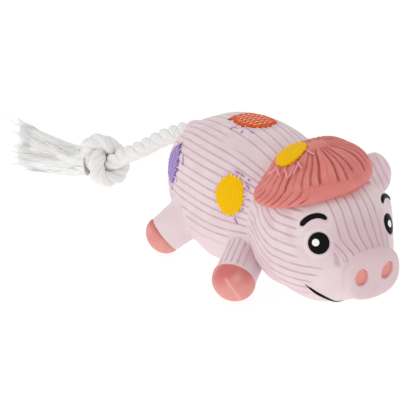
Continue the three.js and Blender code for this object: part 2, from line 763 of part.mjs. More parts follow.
/** The bellows: a thin wall in folds, with a lip turned in at each end. */
function squeakerBellows() {
  const valley = BELLOWS_RADIUS - BELLOWS_FOLD_DEPTH;
  const lip = valley - BELLOWS_WALL - BELLOWS_LIP;
  const fold = (BELLOWS_HEIGHT - 2 * BELLOWS_WALL) / BELLOWS_FOLDS;
  const outer = [];
  for (let i = 0; i < BELLOWS_FOLDS; i++) {
    const bottom = bellowsBottom + BELLOWS_WALL + i * fold;
    outer.push([valley, bottom], [BELLOWS_RADIUS, bottom + fold / 2]);
  }
  outer.push([valley, bellowsTop - BELLOWS_WALL]);
  const inner = outer.map(([radius, height]) => [radius - BELLOWS_WALL, height]).reverse();
  return ring(
    [
      [lip, bellowsBottom],
      [valley, bellowsBottom],
      ...outer,
      [valley, bellowsTop],
      [lip, bellowsTop],
      [lip, bellowsTop - BELLOWS_WALL],
      ...inner,
      [lip, bellowsBottom + BELLOWS_WALL],
    ],
    COARSE.sides,
  );
}

/** The reed's seat, the reed and its clamp: a slit rod in the plug, with the reed flat over the slit. */
function reedSet() {
  const radius = PLUG_BORE_RADIUS - GAP;
  const stemTop = plugBottom + REED_SEAT_STEM;
  const seatTop = plugBottom + REED_SEAT_HEIGHT;
  const rod = cylinder(radius, plugBottom, seatTop, COARSE.sides);
  const beyond = radius + OVERRUN;
  const halfOff = block([0, -beyond, stemTop], [beyond, beyond, seatTop + OVERRUN]);
  const slot = block(
    [-AIR_SLOT_DEPTH, -AIR_SLOT_WIDTH / 2, plugBottom - OVERRUN],
    [0, AIR_SLOT_WIDTH / 2, seatTop + OVERRUN],
  );
  const reedBottom = stemTop + GAP;
  const reedFace = GAP + REED_THICKNESS;
  const reed = block(
    [GAP, -REED_WIDTH / 2, reedBottom],
    [reedFace, REED_WIDTH / 2, reedBottom + REED_LENGTH],
  );
  const clampSpace = block(
    [reedFace + GAP, -beyond, reedBottom],
    [beyond, beyond, reedBottom + REED_CLAMP_HEIGHT],
  );
  return { seat: cutBy(rod, halfOff, slot), reed, clamp: rod.intersect(clampSpace) };
}

// Rope: the whole line, and the share of it at which each joint lies
const bendPlace = tailPlace.clone().addScaledVector(tailWay, bendOut);
const ropeLine = new THREE.CatmullRomCurve3([
  tailPlace,
  bendPlace,
  ...ROPE_ROUTE.map((place) => new THREE.Vector3(...place)),
]);
const ropeLength = ropeLine.getLength();
const bendShare = bendOut / ropeLength;
const liftShare = bendShare + ROOT_STRETCH / ropeLength;
const liftPlace = ropeLine.getPointAt(liftShare);
const knotPlace = ropeLine.getPointAt(1);

/** A plain tube along one stretch of the rope's line. */
function ropeTube(fromShare, toShare, steps) {
  const places = [];
  for (let i = 0; i <= steps; i++) {
    places.push(ropeLine.getPointAt(THREE.MathUtils.lerp(fromShare, toShare, i / steps)));
  }
  const section = new THREE.Shape();
  for (let i = 0; i < ROPE_SIDES; i++) {
    const angle = (2 * Math.PI * i) / ROPE_SIDES;
    const corner = [ropeRadius * Math.cos(angle), ropeRadius * Math.sin(angle)];
    if (i === 0) section.moveTo(...corner);
    else section.lineTo(...corner);
  }
  section.closePath();
  const extrudePath = new THREE.CatmullRomCurve3(places);
  return solidFrom(new THREE.ExtrudeGeometry(section, { steps, extrudePath, bevelEnabled: false }));
}

/** The rope's fixed end, from its stopper knot out through the skin and the collar. */
function ropeAnchor() {
  const rod = placed(cylinder(ropeRadius, -stopperIn, bendOut, ROPE_SIDES), tailFrame);
  const stopperCut = stopperBall(STOPPER_RADIUS + GAP, CUT_SIDES);
  return largestBody(cutBy(rod, stopperCut, ball(bendPlace, hingeRadius, CUT_SIDES)));
}

/** The first free stretch, with a ball at each end so that it can turn in its neighbours' hollow ends. */
function ropeRoot() {
  return ropeTube(bendShare, liftShare, ROPE_ROOT_STEPS)
    .add(ball(bendPlace, ropeRadius, BALL_SIDES))
    .add(ball(liftPlace, ropeRadius, BALL_SIDES));
}

function ropeFree() {
  const tube = ropeTube(liftShare, 1, ROPE_FREE_STEPS);
  const liftCut = ball(liftPlace, hingeRadius, CUT_SIDES);
  const knotCut = ball(knotPlace, KNOT_RADIUS + GAP, CUT_SIDES);
  return largestBody(cutBy(tube, liftCut, knotCut));
}

/** The frayed end: a spindle that lies beyond the knot and fits it with a hollow end. */
function tassel() {
  const outline = [[0, 0], [ropeRadius, 0], [ropeRadius, KNOT_RADIUS]];
  for (const [outShare, alongShare] of TASSEL_OUTLINE_SHARES) {
    outline.push([outShare * TASSEL_RADIUS, KNOT_RADIUS + alongShare * TASSEL_LENGTH]);
  }
  const droop = THREE.MathUtils.degToRad(TASSEL_DROOP_DEG);
  const way = new THREE.Vector3(0, Math.cos(droop), -Math.sin(droop));
  way.applyAxisAngle(UP, THREE.MathUtils.degToRad(TASSEL_TURN_DEG));
  const flatter = new THREE.Matrix4().makeScale(1, TASSEL_FLATNESS_SHARE, 1);
  const spindle = placed(turned(outline, COARSE.sides), frameAlong(knotPlace, way, UP).multiply(flatter));
  return largestBody(spindle.subtract(ball(knotPlace, KNOT_RADIUS + GAP, KNOT_CUT_SIDES)));
}

/** The moulded ring round the rope where it leaves the rump. */
function tailCollar() {
  const outer = boreRadius + COLLAR_WALL;
  const outline = [
    [boreRadius, -COLLAR_OUT - OVERRUN],
    [outer, -COLLAR_OUT - OVERRUN],
    [outer, COLLAR_OUT - COLLAR_ROUND],
    [outer - COLLAR_ROUND, COLLAR_OUT],
    [boreRadius, COLLAR_OUT],
  ];
  return largestBody(placed(ring(outline, CUT_SIDES), tailFrame).subtract(torsoCut));
}

add("body_shell", "pink_latex", bodyShell());
add("head_shell", "pink_latex", headShell());
add("snout", "snout_latex", snoutBlock());
add("left_ear", "pink_latex", leftEar());
add("cap_crown", "rose_latex", crownSolid);
add("cap_brim", "rose_latex", brimSolid);
for (const [sideName, side] of [["right", -1], ["left", 1]]) {
  const front = limb({
    side,
    rootRise: FRONT_LEG_ROOT_RISE,
    rootAlong: FRONT_ROOT_ALONG_SHARE,
    footOut: FRONT_FOOT_OUT,
    footAlong: FRONT_FOOT_ALONG_SHARE,
    tipCover: FRONT_TIP_COVER,
  });
  add(`front_leg_${sideName}`, "pink_latex", front.leg);
  add(`front_foot_${sideName}`, "rose_latex", front.tip);
  const rear = limb({
    side,
    rootRise: REAR_LEG_ROOT_RISE,
    rootAlong: REAR_ROOT_ALONG_SHARE,
    footOut: REAR_FOOT_OUT,
    footAlong: REAR_FOOT_ALONG_SHARE,
    tipCover: REAR_TIP_COVER,
  });
  add(`rear_leg_${sideName}`, "pink_latex", rear.leg);
  add(`rear_foot_${sideName}`, "rose_latex", rear.tip);
  add(`eye_${sideName}`, "black_paint", eye(side));
  add(`eye_glint_${sideName}`, "white_paint", glint(side));
  add(`brow_${sideName}`, "black_paint", brow(side));
  add(`nostril_${sideName}`, "rose_latex", nostril(side));
}
add("mouth_line", "black_paint", mouth());
add("back_patch", "orange_latex", backPatch());
add(
  "flank_patch",
  "yellow_latex",
  sidePatch(FLANK_PATCH_ALONG_SHARE, FLANK_PATCH_RISE_SHARE, FLANK_PATCH_WIDTH, FLANK_PATCH_HEIGHT),
);
add(
  "rump_patch",
  "purple_latex",
  sidePatch(RUMP_PATCH_ALONG_SHARE, RUMP_PATCH_RISE_SHARE, RUMP_PATCH_WIDTH, RUMP_PATCH_HEIGHT),
);
add("cap_patch", "yellow_latex", capPatch());
add("tail_collar", "snout_latex", tailCollar());

add("body_stuffing", "fibre_fill", bodyStuffing());
add("head_stuffing", "fibre_fill", headStuffing());
add("squeaker_plug", "squeaker_plastic", squeakerPlug());
add("squeaker_bellows", "squeaker_plastic", squeakerBellows());
add(
  "squeaker_end_plate",
  "squeaker_plastic",
  cylinder(END_PLATE_RADIUS, endPlateBottom, endPlateTop, COARSE.sides),
);
const reedPieces = reedSet();
add("reed_seat", "squeaker_plastic", reedPieces.seat);
add("reed", "reed_plastic", reedPieces.reed);
add("reed_clamp", "squeaker_plastic", reedPieces.clamp);

add("rope_stopper_knot", "rope_cotton", stopperBall(STOPPER_RADIUS, COARSE.sides));
add("rope_anchor", "rope_cotton", ropeAnchor());
add("rope_root", "rope_cotton", ropeRoot());
add("rope_tail", "rope_cotton", ropeFree());
add("rope_knot", "rope_cotton", ball(knotPlace, KNOT_RADIUS, COARSE.sides));
add("rope_tassel", "rope_cotton", tassel());

// The origin is under the middle of the toy without its free rope
const FREE_ROPE = ["rope_root", "rope_tail", "rope_knot", "rope_tassel"];
const bounds = new THREE.Box3();
for (const mesh of pig.children) {
  if (!FREE_ROPE.includes(mesh.name)) bounds.expandByObject(mesh);
}
const middle = bounds.getCenter(new THREE.Vector3());
pig.position.set(-middle.x, -middle.y, -bounds.min.z);

export default pig;
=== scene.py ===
"""A squeaky dog toy: a moulded latex pig in a cap, with a rope for a tail.

It faces -Y, its own left side is +X, and it stands on z = 0. The classes work in
millimetres; a mesh is written in metres. Every skin is a swelling body: a round form
that swells between two ends, whose outline is a power of its half sizes.
"""

import json
import logging
import math
from dataclasses import dataclass, field
from enum import Enum
from typing import Callable, Optional, Sequence

import bpy
import numpy as np
from mathutils import Matrix, Vector

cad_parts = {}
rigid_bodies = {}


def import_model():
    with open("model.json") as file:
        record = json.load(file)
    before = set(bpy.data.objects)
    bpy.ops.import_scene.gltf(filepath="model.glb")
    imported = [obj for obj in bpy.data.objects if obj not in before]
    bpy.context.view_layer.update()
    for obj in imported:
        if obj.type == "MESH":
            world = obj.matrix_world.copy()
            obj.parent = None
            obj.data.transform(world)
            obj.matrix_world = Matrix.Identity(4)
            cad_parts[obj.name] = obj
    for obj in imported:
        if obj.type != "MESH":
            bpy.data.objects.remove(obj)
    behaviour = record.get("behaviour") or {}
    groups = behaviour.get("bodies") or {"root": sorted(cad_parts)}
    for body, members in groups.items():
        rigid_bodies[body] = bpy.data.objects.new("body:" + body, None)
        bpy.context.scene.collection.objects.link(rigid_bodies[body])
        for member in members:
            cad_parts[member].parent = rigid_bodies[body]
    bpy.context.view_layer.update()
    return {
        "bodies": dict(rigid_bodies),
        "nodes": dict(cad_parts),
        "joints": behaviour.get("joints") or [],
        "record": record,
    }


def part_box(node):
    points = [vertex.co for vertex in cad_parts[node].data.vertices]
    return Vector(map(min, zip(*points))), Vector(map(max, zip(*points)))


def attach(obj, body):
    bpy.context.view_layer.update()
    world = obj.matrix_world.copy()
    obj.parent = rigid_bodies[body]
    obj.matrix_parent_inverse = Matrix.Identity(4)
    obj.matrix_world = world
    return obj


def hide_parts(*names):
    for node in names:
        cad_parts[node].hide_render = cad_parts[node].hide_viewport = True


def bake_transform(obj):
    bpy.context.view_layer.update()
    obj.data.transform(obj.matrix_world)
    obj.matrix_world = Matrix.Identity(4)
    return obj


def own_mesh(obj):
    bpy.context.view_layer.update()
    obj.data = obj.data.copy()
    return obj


Array = np.ndarray
Place = tuple[float, float, float]
Part = tuple[Array, Array, dict[str, Array]]
Press = tuple[Place, float, float]
Socket = bpy.types.NodeSocket
Finish = bpy.types.Material

LOG = logging.getLogger("toy")
METRES_PER_MM = 0.001
UP = np.array((0.0, 0.0, 1.0))
AHEAD = np.array((0.0, -1.0, 0.0))
TINY = 1e-9
SIDES = (("right", -1.0), ("left", 1.0))


# Arithmetic


def eased(low: float, high: float, value: Array) -> Array:
    """Goes from 0 at low to 1 at high, level at both ends: t squared times 3 - 2t."""
    share = np.clip((value - low) / (high - low), 0.0, 1.0)
    return share * share * (3.0 - 2.0 * share)


def bell(value: Array, width: float) -> Array:
    """A bell curve: e to the power of minus the square of value over width."""
    return np.exp(-((value / width) ** 2))


def ripples(points: Array, wavelength: float, seed: int, waves: int = 7) -> Array:
    """Soft random unevenness, from about -1 to 1.

    It is the mean of sines of the distance along seeded random directions.

    Args:
        points: places, in mm.
        wavelength: the usual distance between two swells, in mm.
        seed: which pattern.
        waves: how many sines.

    Returns:
        One number for each point.
    """
    draw = np.random.default_rng(seed)
    ways = draw.normal(size=(waves, 3))
    ways /= np.linalg.norm(ways, axis=1, keepdims=True)
    ways *= (2 * np.pi / wavelength * draw.uniform(0.7, 1.4, size=(waves, 1)))
    starts = draw.uniform(0, 2 * np.pi, size=waves)
    return 1.6 * np.mean(np.sin(points @ ways.T + starts), axis=-1)


def unit(vectors: Array) -> Array:
    """Scales each vector to a length of 1."""
    return vectors / np.maximum(np.linalg.norm(vectors, axis=-1, keepdims=True), TINY)


def off_whole(value: Array) -> Array:
    """How far each value lies from the nearest whole number."""
    return np.abs(value - np.round(value))


def round_turn(count: int) -> Array:
    """The angles, in radians, of count points set evenly round a circle."""
    return 2 * np.pi * np.arange(count) / count


def spokes(angle: Array, frame: Array) -> Array:
    """Directions at angles round a frame's third axis: cosine along its first plus sine along its second."""
    return np.cos(angle)[..., None] * frame[:, 0] + np.sin(angle)[..., None] * frame[:, 1]


def run_along(path: Array) -> Array:
    """How far along a path each of its points is: the running sum of its steps."""
    return np.concatenate([[0.0], np.cumsum(np.linalg.norm(np.diff(path, axis=0), axis=1))])


def read_path(path: Array, marks: Array, at: Array) -> Array:
    """The places at some marks of a path, straight between its points, whose own marks are given."""
    return np.stack([np.interp(at, marks, path[:, i]) for i in range(3)], axis=-1)


def smoothed(path: Array, rounds: int) -> Array:
    """A path whose points, but for its ends, move halfway to the middle of their neighbours each round."""
    for _ in range(rounds):
        path[1:-1] = (path[:-2] + 2 * path[1:-1] + path[2:]) / 4
    return path


def upright_frame(way: Array, upright: Array) -> Array:
    """A turned frame, as columns: across, as near as can be to upright, and along way."""
    z = unit(np.asarray(way, float))
    y = unit(upright - z * (upright @ z))
    return np.stack([np.cross(y, z), y, z], axis=1)


# Meshes


class Sheet:
    """Writes grids of points as Blender meshes and sets the finished pieces on their bodies."""

    def __init__(self) -> None:
        """Starts with no pieces."""
        self.made: list[str] = []

    def piece(
        self,
        name: str,
        parts: Sequence[Part],
        material: Finish,
        body: Optional[str],
        replaces: Sequence[str] = (),
    ) -> bpy.types.Object:
        """Makes one piece from parts of points and faces.

        Args:
            name: the piece's name.
            parts: for each part its points in mm, its four-cornered faces (a corner given
                twice makes a triangle) and its numbers for each point, by attribute.
            material: its finish.
            body: the body that it rides on, or None.
            replaces: the CAD nodes that it stands for.

        Returns:
            The piece.
        """
        mesh = bpy.data.meshes.new(name)
        points = np.concatenate([part[0].reshape(-1, 3) for part in parts])
        starts = np.cumsum([0] + [part[0].reshape(-1, 3).shape[0] for part in parts])
        faces = np.concatenate([part[1] + start for part, start in zip(parts, starts)])
        corners = np.where(faces == np.roll(faces, -1, axis=1), -1, faces)
        sizes = (corners >= 0).sum(axis=1)
        corners = corners[sizes >= 3]
        sizes = sizes[sizes >= 3]
        loops = corners[corners >= 0]
        mesh.vertices.add(len(points))
        mesh.vertices.foreach_set("co", (points * METRES_PER_MM).astype(np.float32).ravel())
        mesh.loops.add(len(loops))
        mesh.polygons.add(len(sizes))
        begins = np.concatenate([[0], np.cumsum(sizes)[:-1]])
        mesh.polygons.foreach_set("loop_start", begins.astype(np.int32))
        mesh.polygons.foreach_set("vertices", loops.astype(np.int32))
        mesh.polygons.foreach_set("use_smooth", np.ones(len(sizes), dtype=bool))
        for attribute in parts[0][2]:
            values = np.concatenate([np.ravel(part[2][attribute]) for part in parts])
            store = mesh.attributes.new(attribute, "FLOAT", "POINT")
            store.data.foreach_set("value", values.astype(np.float32))
        mesh.update(calc_edges=True)
        mesh.validate()
        mesh.materials.append(material)
        made = bpy.data.objects.new(name, mesh)
        bpy.context.scene.collection.objects.link(made)
        if replaces:
            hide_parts(*replaces)
        if body is not None:
            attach(made, body)
        self.made.append(name)
        LOG.info("%s: %d points, %d faces, on %s", name, len(points), len(sizes), body)
        return made


def grid_faces(rows: int, columns: int, around: bool, closed: bool = False) -> Array:
    """The four-cornered faces of a grid of points, row by row.

    Args:
        rows: how many rows of points.
        columns: how many points in each row.
        around: whether each row closes on itself.
        closed: whether the last row joins the first.

    Returns:
        Point numbers, four to a face.
    """
    down = np.arange(rows if closed else rows - 1)[:, None]
    across = np.arange(columns if around else columns - 1)[None, :]
    below = (down + 1) % rows
    beside = (across + 1) % columns
    corners = ((down, across), (down, beside), (below, beside), (below, across))
    return np.stack([row * columns + column for row, column in corners], axis=-1).reshape(-1, 4)


def capped_grid(points: Array, numbers: Optional[dict[str, Array]] = None) -> Part:
    """A closed form from rows of points that go round: each end row shrinks to one point.

    Args:
        points: rows by columns by 3. Seen from outside, a row runs anticlockwise about the way
            that the rows go.
        numbers: for each attribute, rows by columns of values.

    Returns:
        The part's points, faces and numbers.
    """
    rows, columns = points.shape[:2]
    faces = grid_faces(rows, columns, around=True)
    first, last = rows * columns, rows * columns + 1
    step = np.arange(columns)
    onward = (step + 1) % columns
    head = np.stack([onward, step, np.full(columns, first), np.full(columns, first)], axis=1)
    base = (rows - 1) * columns
    tail = np.stack([base + step, base + onward, np.full(columns, last), np.full(columns, last)], axis=1)
    ends = np.stack([points[0].mean(axis=0), points[-1].mean(axis=0)])
    values = {
        key: np.concatenate([np.ravel(grid), [grid[0].mean(), grid[-1].mean()]])
        for key, grid in (numbers or {}).items()
    }
    return np.concatenate([points.reshape(-1, 3), ends]), np.concatenate([faces, head, tail]), values


def tube_about(
    path: Array, radii: Array, sides: int, flat: float = 1.0, lift: Optional[Array] = None
) -> Array:
    """Rows of points round a path, each across the path's own direction there.

    A point is the path's point plus its radius times cosine across plus sine up.

    Args:
        path: points along the middle.
        radii: the radius at each of them.
        sides: points in each row.
        flat: the height of the section as a share of its width.
        lift: the upright direction at each point; the world's by default.

    Returns:
        Rows by sides by 3.
    """
    along = unit(np.gradient(path, axis=0))
    upright = np.broadcast_to(UP if lift is None else lift, path.shape)
    across = unit(np.cross(upright, along))
    over = np.cross(along, across)
    angle = round_turn(sides)[None, :, None]
    ring = np.cos(angle) * across[:, None] + flat * np.sin(angle) * over[:, None]
    return path[:, None] + radii[:, None, None] * ring


# Shapes


class Form:
    """A solid shape that can say how far any point lies outside it."""

    def apart(self, points: Array) -> Array:
        """How far each point lies outside the surface, in mm; inside it is less than zero."""
        raise NotImplementedError

    def outward(self, points: Array) -> Array:
        """The way straight out at each point: the steepest rise of apart, by small steps."""
        step = 0.05
        rises = [self.apart(points + step * axis) - self.apart(points - step * axis) for axis in np.eye(3)]
        return unit(np.stack(rises, axis=-1))

    def settle(self, points: Array, way: Array, reach: float = 14.0) -> Array:
        """Moves points along a direction onto the surface, from outside.

        It halves the stretch from reach before each point to reach behind it.

        Args:
            points: places near the surface.
            way: one direction into the shape, or one for each point.
            reach: how far to look each way, in mm.

        Returns:
            The points on the surface.
        """
        way = np.broadcast_to(unit(np.asarray(way, float)), points.shape)
        near = np.full(points.shape[:-1], -reach)
        far = np.full(points.shape[:-1], reach)
        for _ in range(26):
            middle = (near + far) / 2
            inside = self.apart(points + middle[..., None] * way) < 0
            far = np.where(inside, middle, far)
            near = np.where(inside, near, middle)
        return points + ((near + far) / 2)[..., None] * way


@dataclass(frozen=True)
class Swell(Form):
    """A body that swells between two ends along Y.

    For a point at shares x, y, z of the half sizes from the centre, the gauge is
    ((|x|^s + |z|^s)^(f/s) + |y|^f)^(1/f), with f the fullness and s the squareness. The
    surface is where the gauge is 1.
    """

    centre: Place
    half: Place
    fullness: float
    squareness: float

    def gauge(self, share: Array) -> tuple[Array, Array]:
        """The section's sum and the gauge of the class's formula, at shares of the half sizes."""
        section = share[..., 0] ** self.squareness + share[..., 2] ** self.squareness
        whole = section ** (self.fullness / self.squareness) + share[..., 1] ** self.fullness
        return section, whole ** (1 / self.fullness)

    def apart(self, points: Array) -> Array:
        """The gauge's excess over 1, over its steepness: the distance to first order."""
        share = np.abs((points - np.array(self.centre)) / np.array(self.half)) + TINY
        section, gauge = self.gauge(share)
        swell = section ** (self.fullness / self.squareness - 1)
        steep = [
            swell * share[..., 0] ** (self.squareness - 1) / self.half[0],
            share[..., 1] ** (self.fullness - 1) / self.half[1],
            swell * share[..., 2] ** (self.squareness - 1) / self.half[2],
        ]
        steepness = np.sqrt(sum(part**2 for part in steep)) * gauge ** (1 - self.fullness)
        return (gauge - 1) / steepness

    def grown(self, by: float) -> "Swell":
        """The same body, thicker all round."""
        return Swell(self.centre, tuple(h + by for h in self.half), self.fullness, self.squareness)

    def skin(self, rows: int, columns: int) -> Array:
        """Points on the surface, in rows round Y from the front end to the back end.

        A direction at angle u from -Y and v round it is scaled by the half sizes and divided
        by its gauge.

        Args:
            rows: rows of points, without the two ends.
            columns: points in a row.

        Returns:
            Rows by columns by 3.
        """
        rays = self.rays(rows, columns)
        gauge = self.gauge(np.abs(rays / np.array(self.half)))[1]
        return np.array(self.centre) + rays / gauge[..., None]

    def rays(self, rows: int, columns: int) -> Array:
        """The directions of skin, before they are cut to length."""
        polar = (np.pi * (np.arange(rows) + 0.5) / rows)[:, None]
        turn = round_turn(columns)[None, :]
        flat = np.broadcast_to(-np.cos(polar), (rows, columns))
        ways = np.stack([-np.sin(polar) * np.cos(turn), flat, np.sin(polar) * np.sin(turn)], axis=-1)
        return ways * np.array(self.half)


@dataclass(frozen=True)
class Limb(Form):
    """A straight bar with round ends: the distance to its middle line, less its radius there."""

    root: Place
    foot: Place
    root_radius: float
    foot_radius: float

    def apart(self, points: Array) -> Array:
        """The distance to the bar's surface."""
        root, line = np.array(self.root), np.array(self.foot) - np.array(self.root)
        share = np.clip(((points - root) @ line) / (line @ line), 0.0, 1.0)
        radius = self.root_radius + share * (self.foot_radius - self.root_radius)
        return np.linalg.norm(points - root - share[..., None] * line, axis=-1) - radius


@dataclass(frozen=True)
class Blended(Form):
    """Two shapes that run into each other over a soft seam, as two clays do.

    With h = reach - |a - b|, where that is over zero, the distance is the lesser of the two
    less h squared over four reaches.
    """

    first: Form
    second: Form
    reach: float

    def apart(self, points: Array) -> Array:
        """The blended distance."""
        a, b = self.first.apart(points), self.second.apart(points)
        left = np.maximum(self.reach - np.abs(a - b), 0.0)
        return np.minimum(a, b) - left**2 / (4 * self.reach)


def swelling(points: Array, presses: Sequence[Press]) -> Array:
    """How far full places and dents lift a skin: bells of the distance from their middles.

    Args:
        points: places on the skin.
        presses: for each one its middle, its reach and its height, in mm.

    Returns:
        The lift at each point.
    """
    lift = np.zeros(points.shape[:-1])
    for middle, reach, height in presses:
        lift = lift + height * bell(np.linalg.norm(points - np.array(middle), axis=-1), reach)
    return lift


def flare(distance: Array, reach: float) -> Array:
    """How far a skin rises towards a neighbour that lies at a distance: half of a soft seam."""
    left = np.clip(reach - distance, 0.0, 1.6 * reach)
    return left**2 / (4 * reach)


# Finishes


class Graph:
    """A material's nodes, made and linked one after another."""

    def __init__(self, name: str) -> None:
        """Makes the material, with its usual shader."""
        self.material = bpy.data.materials.new(name)
        self.material.use_nodes = True
        self.tree = self.material.node_tree
        self.shader = self.tree.nodes["Principled BSDF"]

    def node(self, kind: str, **settings: object) -> bpy.types.Node:
        """Adds a node and sets its properties."""
        made = self.tree.nodes.new(kind)
        for key, value in settings.items():
            setattr(made, key, value)
        return made

    def feed(self, socket: Socket, value: object) -> None:
        """Links an output to an input, or writes a plain value into it."""
        if isinstance(value, Socket):
            self.tree.links.new(value, socket)
        elif isinstance(value, tuple) and len(value) == 3 and socket.type == "RGBA":
            socket.default_value = (*value, 1.0)
        else:
            socket.default_value = value

    def coordinates(self, scale: Place = (1.0, 1.0, 1.0)) -> Socket:
        """The piece's own place, in mm, stretched."""
        source = self.node("ShaderNodeTexCoord")
        mapping = self.node("ShaderNodeMapping")
        mapping.inputs["Scale"].default_value = tuple(part / METRES_PER_MM for part in scale)
        self.feed(mapping.inputs["Vector"], source.outputs["Object"])
        return mapping.outputs["Vector"]

    def attribute(self, name: str) -> Socket:
        """One of the piece's numbers for each point."""
        return self.node("ShaderNodeAttribute", attribute_name=name).outputs["Fac"]

    def noise(self, place: Socket, size: float, detail: float = 3.0, rough: float = 0.5) -> Socket:
        """Soft noise whose grains are size mm across."""
        made = self.node("ShaderNodeTexNoise")
        made.inputs["Scale"].default_value = 1.0 / size
        made.inputs["Detail"].default_value = detail
        made.inputs["Roughness"].default_value = rough
        self.feed(made.inputs["Vector"], place)
        return made.outputs["Fac"]

    def cells(self, place: Socket, size: float) -> Socket:
        """The distance to the middle of the nearest of random cells, size mm across."""
        made = self.node("ShaderNodeTexVoronoi")
        made.inputs["Scale"].default_value = 1.0 / size
        self.feed(made.inputs["Vector"], place)
        return made.outputs["Distance"]

    def sum(
        self, operation: str, a: object, b: object = 0.0, c: object = 0.0, clamp: bool = False
    ) -> Socket:
        """One step of arithmetic."""
        made = self.node("ShaderNodeMath", operation=operation, use_clamp=clamp)
        for socket, value in zip(made.inputs, (a, b, c)):
            self.feed(socket, value)
        return made.outputs[0]

    def between(self, value: object, low: float, high: float) -> Socket:
        """Goes from 0 at low to 1 at high, level at both ends."""
        made = self.node("ShaderNodeMapRange", interpolation_type="SMOOTHSTEP")
        for key, number in (("Value", value), ("From Min", low), ("From Max", high)):
            self.feed(made.inputs[key], number)
        return made.outputs["Result"]

    def mix(self, share: object, a: object, b: object) -> Socket:
        """A colour between a and b."""
        made = self.node("ShaderNodeMix", data_type="RGBA")
        self.feed(made.inputs[0], share)
        self.feed(made.inputs[6], a)
        self.feed(made.inputs[7], b)
        return made.outputs[2]

    def bump(self, height: object, depth: float, below: Optional[Socket] = None) -> Socket:
        """A raised and sunk look, depth mm high, over another one."""
        made = self.node("ShaderNodeBump")
        made.inputs["Distance"].default_value = depth * METRES_PER_MM
        self.feed(made.inputs["Height"], height)
        if below is not None:
            self.feed(made.inputs["Normal"], below)
        return made.outputs["Normal"]

    def finish(self, **inputs: object) -> Finish:
        """Sets the shader's inputs, named with _ for a space, and hands out the material."""
        for key, value in inputs.items():
            self.feed(self.shader.inputs[key.replace("_", " ")], value)
        return self.material


def shade(red: int, green: int, blue: int) -> Place:
    """A colour of 0 to 255 as the shader's light values."""
    parts = [part / 255.0 for part in (red, green, blue)]
    return tuple(part / 12.92 if part <= 0.04045 else ((part + 0.055) / 1.055) ** 2.4 for part in parts)


@dataclass(frozen=True)
class Latex:
    """Soft moulded latex with a faint mottle; painted shade darkens its grooves, and its pale and tinted
    places are partly painted light and shade.
    """

    name: str
    colour: Place
    groove: Place
    pale: Place
    tint: Place
    roughness: float = 0.5
    stain: Place = shade(206, 176, 216)

    def material(self) -> Finish:
        """The finish: attribute groove darkens as painted shade, tint turns mauve, pale lightens and halo
        stains.
        """
        g = Graph(self.name)
        place = g.coordinates()
        mottle = g.noise(place, 9.0, 4.0)
        colour = g.mix(g.sum("MULTIPLY", g.between(mottle, 0.35, 0.7), 0.45), self.colour, self.pale)
        # Painted light: pale lightens rib tops as a painted highlight and low places as light from the floor;
        # the mottle above takes the same pale colour.
        colour = g.mix(g.attribute("pale"), colour, self.pale)
        colour = g.mix(g.attribute("tint"), colour, self.tint)
        stained = g.sum("MULTIPLY", g.attribute("halo"), g.between(g.noise(place, 1.8, 2.0), 0.3, 0.6))
        colour = g.mix(stained, colour, self.stain)
        uneven = g.sum("MULTIPLY_ADD", g.noise(place, 2.6, 3.0), 0.7, 0.45, clamp=True)
        # Painted shade: groove darkens the grooves towards the groove colour; the random specks below take
        # that colour too.
        colour = g.mix(g.sum("MULTIPLY", g.attribute("groove"), uneven), colour, self.groove)
        speck = g.between(g.cells(place, 7.0), 0.07, 0.03)
        colour = g.mix(g.sum("MULTIPLY", speck, 0.35), colour, self.groove)
        grain = g.noise(place, 0.5, 2.0)
        wrinkle = g.noise(place, 1.7, 3.0, 0.6)
        rough = g.sum("ADD", g.sum("MULTIPLY", mottle, 0.16), self.roughness - 0.08)
        return g.finish(
            Base_Color=colour,
            Roughness=rough,
            Normal=g.bump(grain, 0.03, g.bump(wrinkle, 0.16, g.bump(mottle, 0.25))),
            Specular_IOR_Level=0.3,
            Subsurface_Weight=0.12,
            Subsurface_Radius=(0.9, 0.45, 0.4),
            Subsurface_Scale=1.5 * METRES_PER_MM,
        )


class Pile(Enum):
    """How a patch is knitted: the spacing of its ribs across and along, in mm."""

    UPRIGHT = (1.15, 3.2)
    ARCHED = (3.4, 3.0)
    NUBBLED = (2.4, 2.2)


@dataclass(frozen=True)
class Knit:
    """A painted knit patch: rib valleys darkened as painted shade and rib tops lightened as painted
    highlight, with a darker rim.
    """

    name: str
    colour: Place
    valley: Place
    top: Place

    def material(self) -> Finish:
        """The finish: attribute relief runs from the valleys at 0 to the tops at 1."""
        g = Graph(self.name)
        place = g.coordinates()
        relief = g.attribute("relief")
        # Painted shade in the knit's valleys and a painted highlight on its crests; the random blotches below
        # take the valley colour too.
        colour = g.mix(g.between(relief, 0.05, 0.5), self.valley, self.colour)
        colour = g.mix(g.sum("MULTIPLY", g.between(relief, 0.5, 0.9), g.attribute("crest")), colour, self.top)
        blotch = g.between(g.noise(place, 2.2, 3.0), 0.45, 0.75)
        colour = g.mix(g.sum("MULTIPLY", blotch, 0.3), colour, self.valley)
        return g.finish(
            Base_Color=colour,
            Roughness=0.65,
            Normal=g.bump(g.noise(place, 0.35, 2.0), 0.05),
            Specular_IOR_Level=0.12,
        )


@dataclass(frozen=True)
class Paint:
    """Glossy enamel paint with a slight orange-peel unevenness."""

    name: str
    colour: Place
    worn: Place
    roughness: float
    gloss: float = 0.25

    def material(self) -> Finish:
        """The finish."""
        g = Graph(self.name)
        place = g.coordinates()
        wear = g.between(g.noise(place, 1.6, 3.0), 0.55, 0.8)
        return g.finish(
            Base_Color=g.mix(g.sum("MULTIPLY", wear, 0.4), self.colour, self.worn),
            Roughness=g.sum("ADD", g.sum("MULTIPLY", wear, 0.2), self.roughness),
            Normal=g.bump(g.noise(place, 0.9, 2.0), 0.03),
            Specular_IOR_Level=self.gloss,
        )


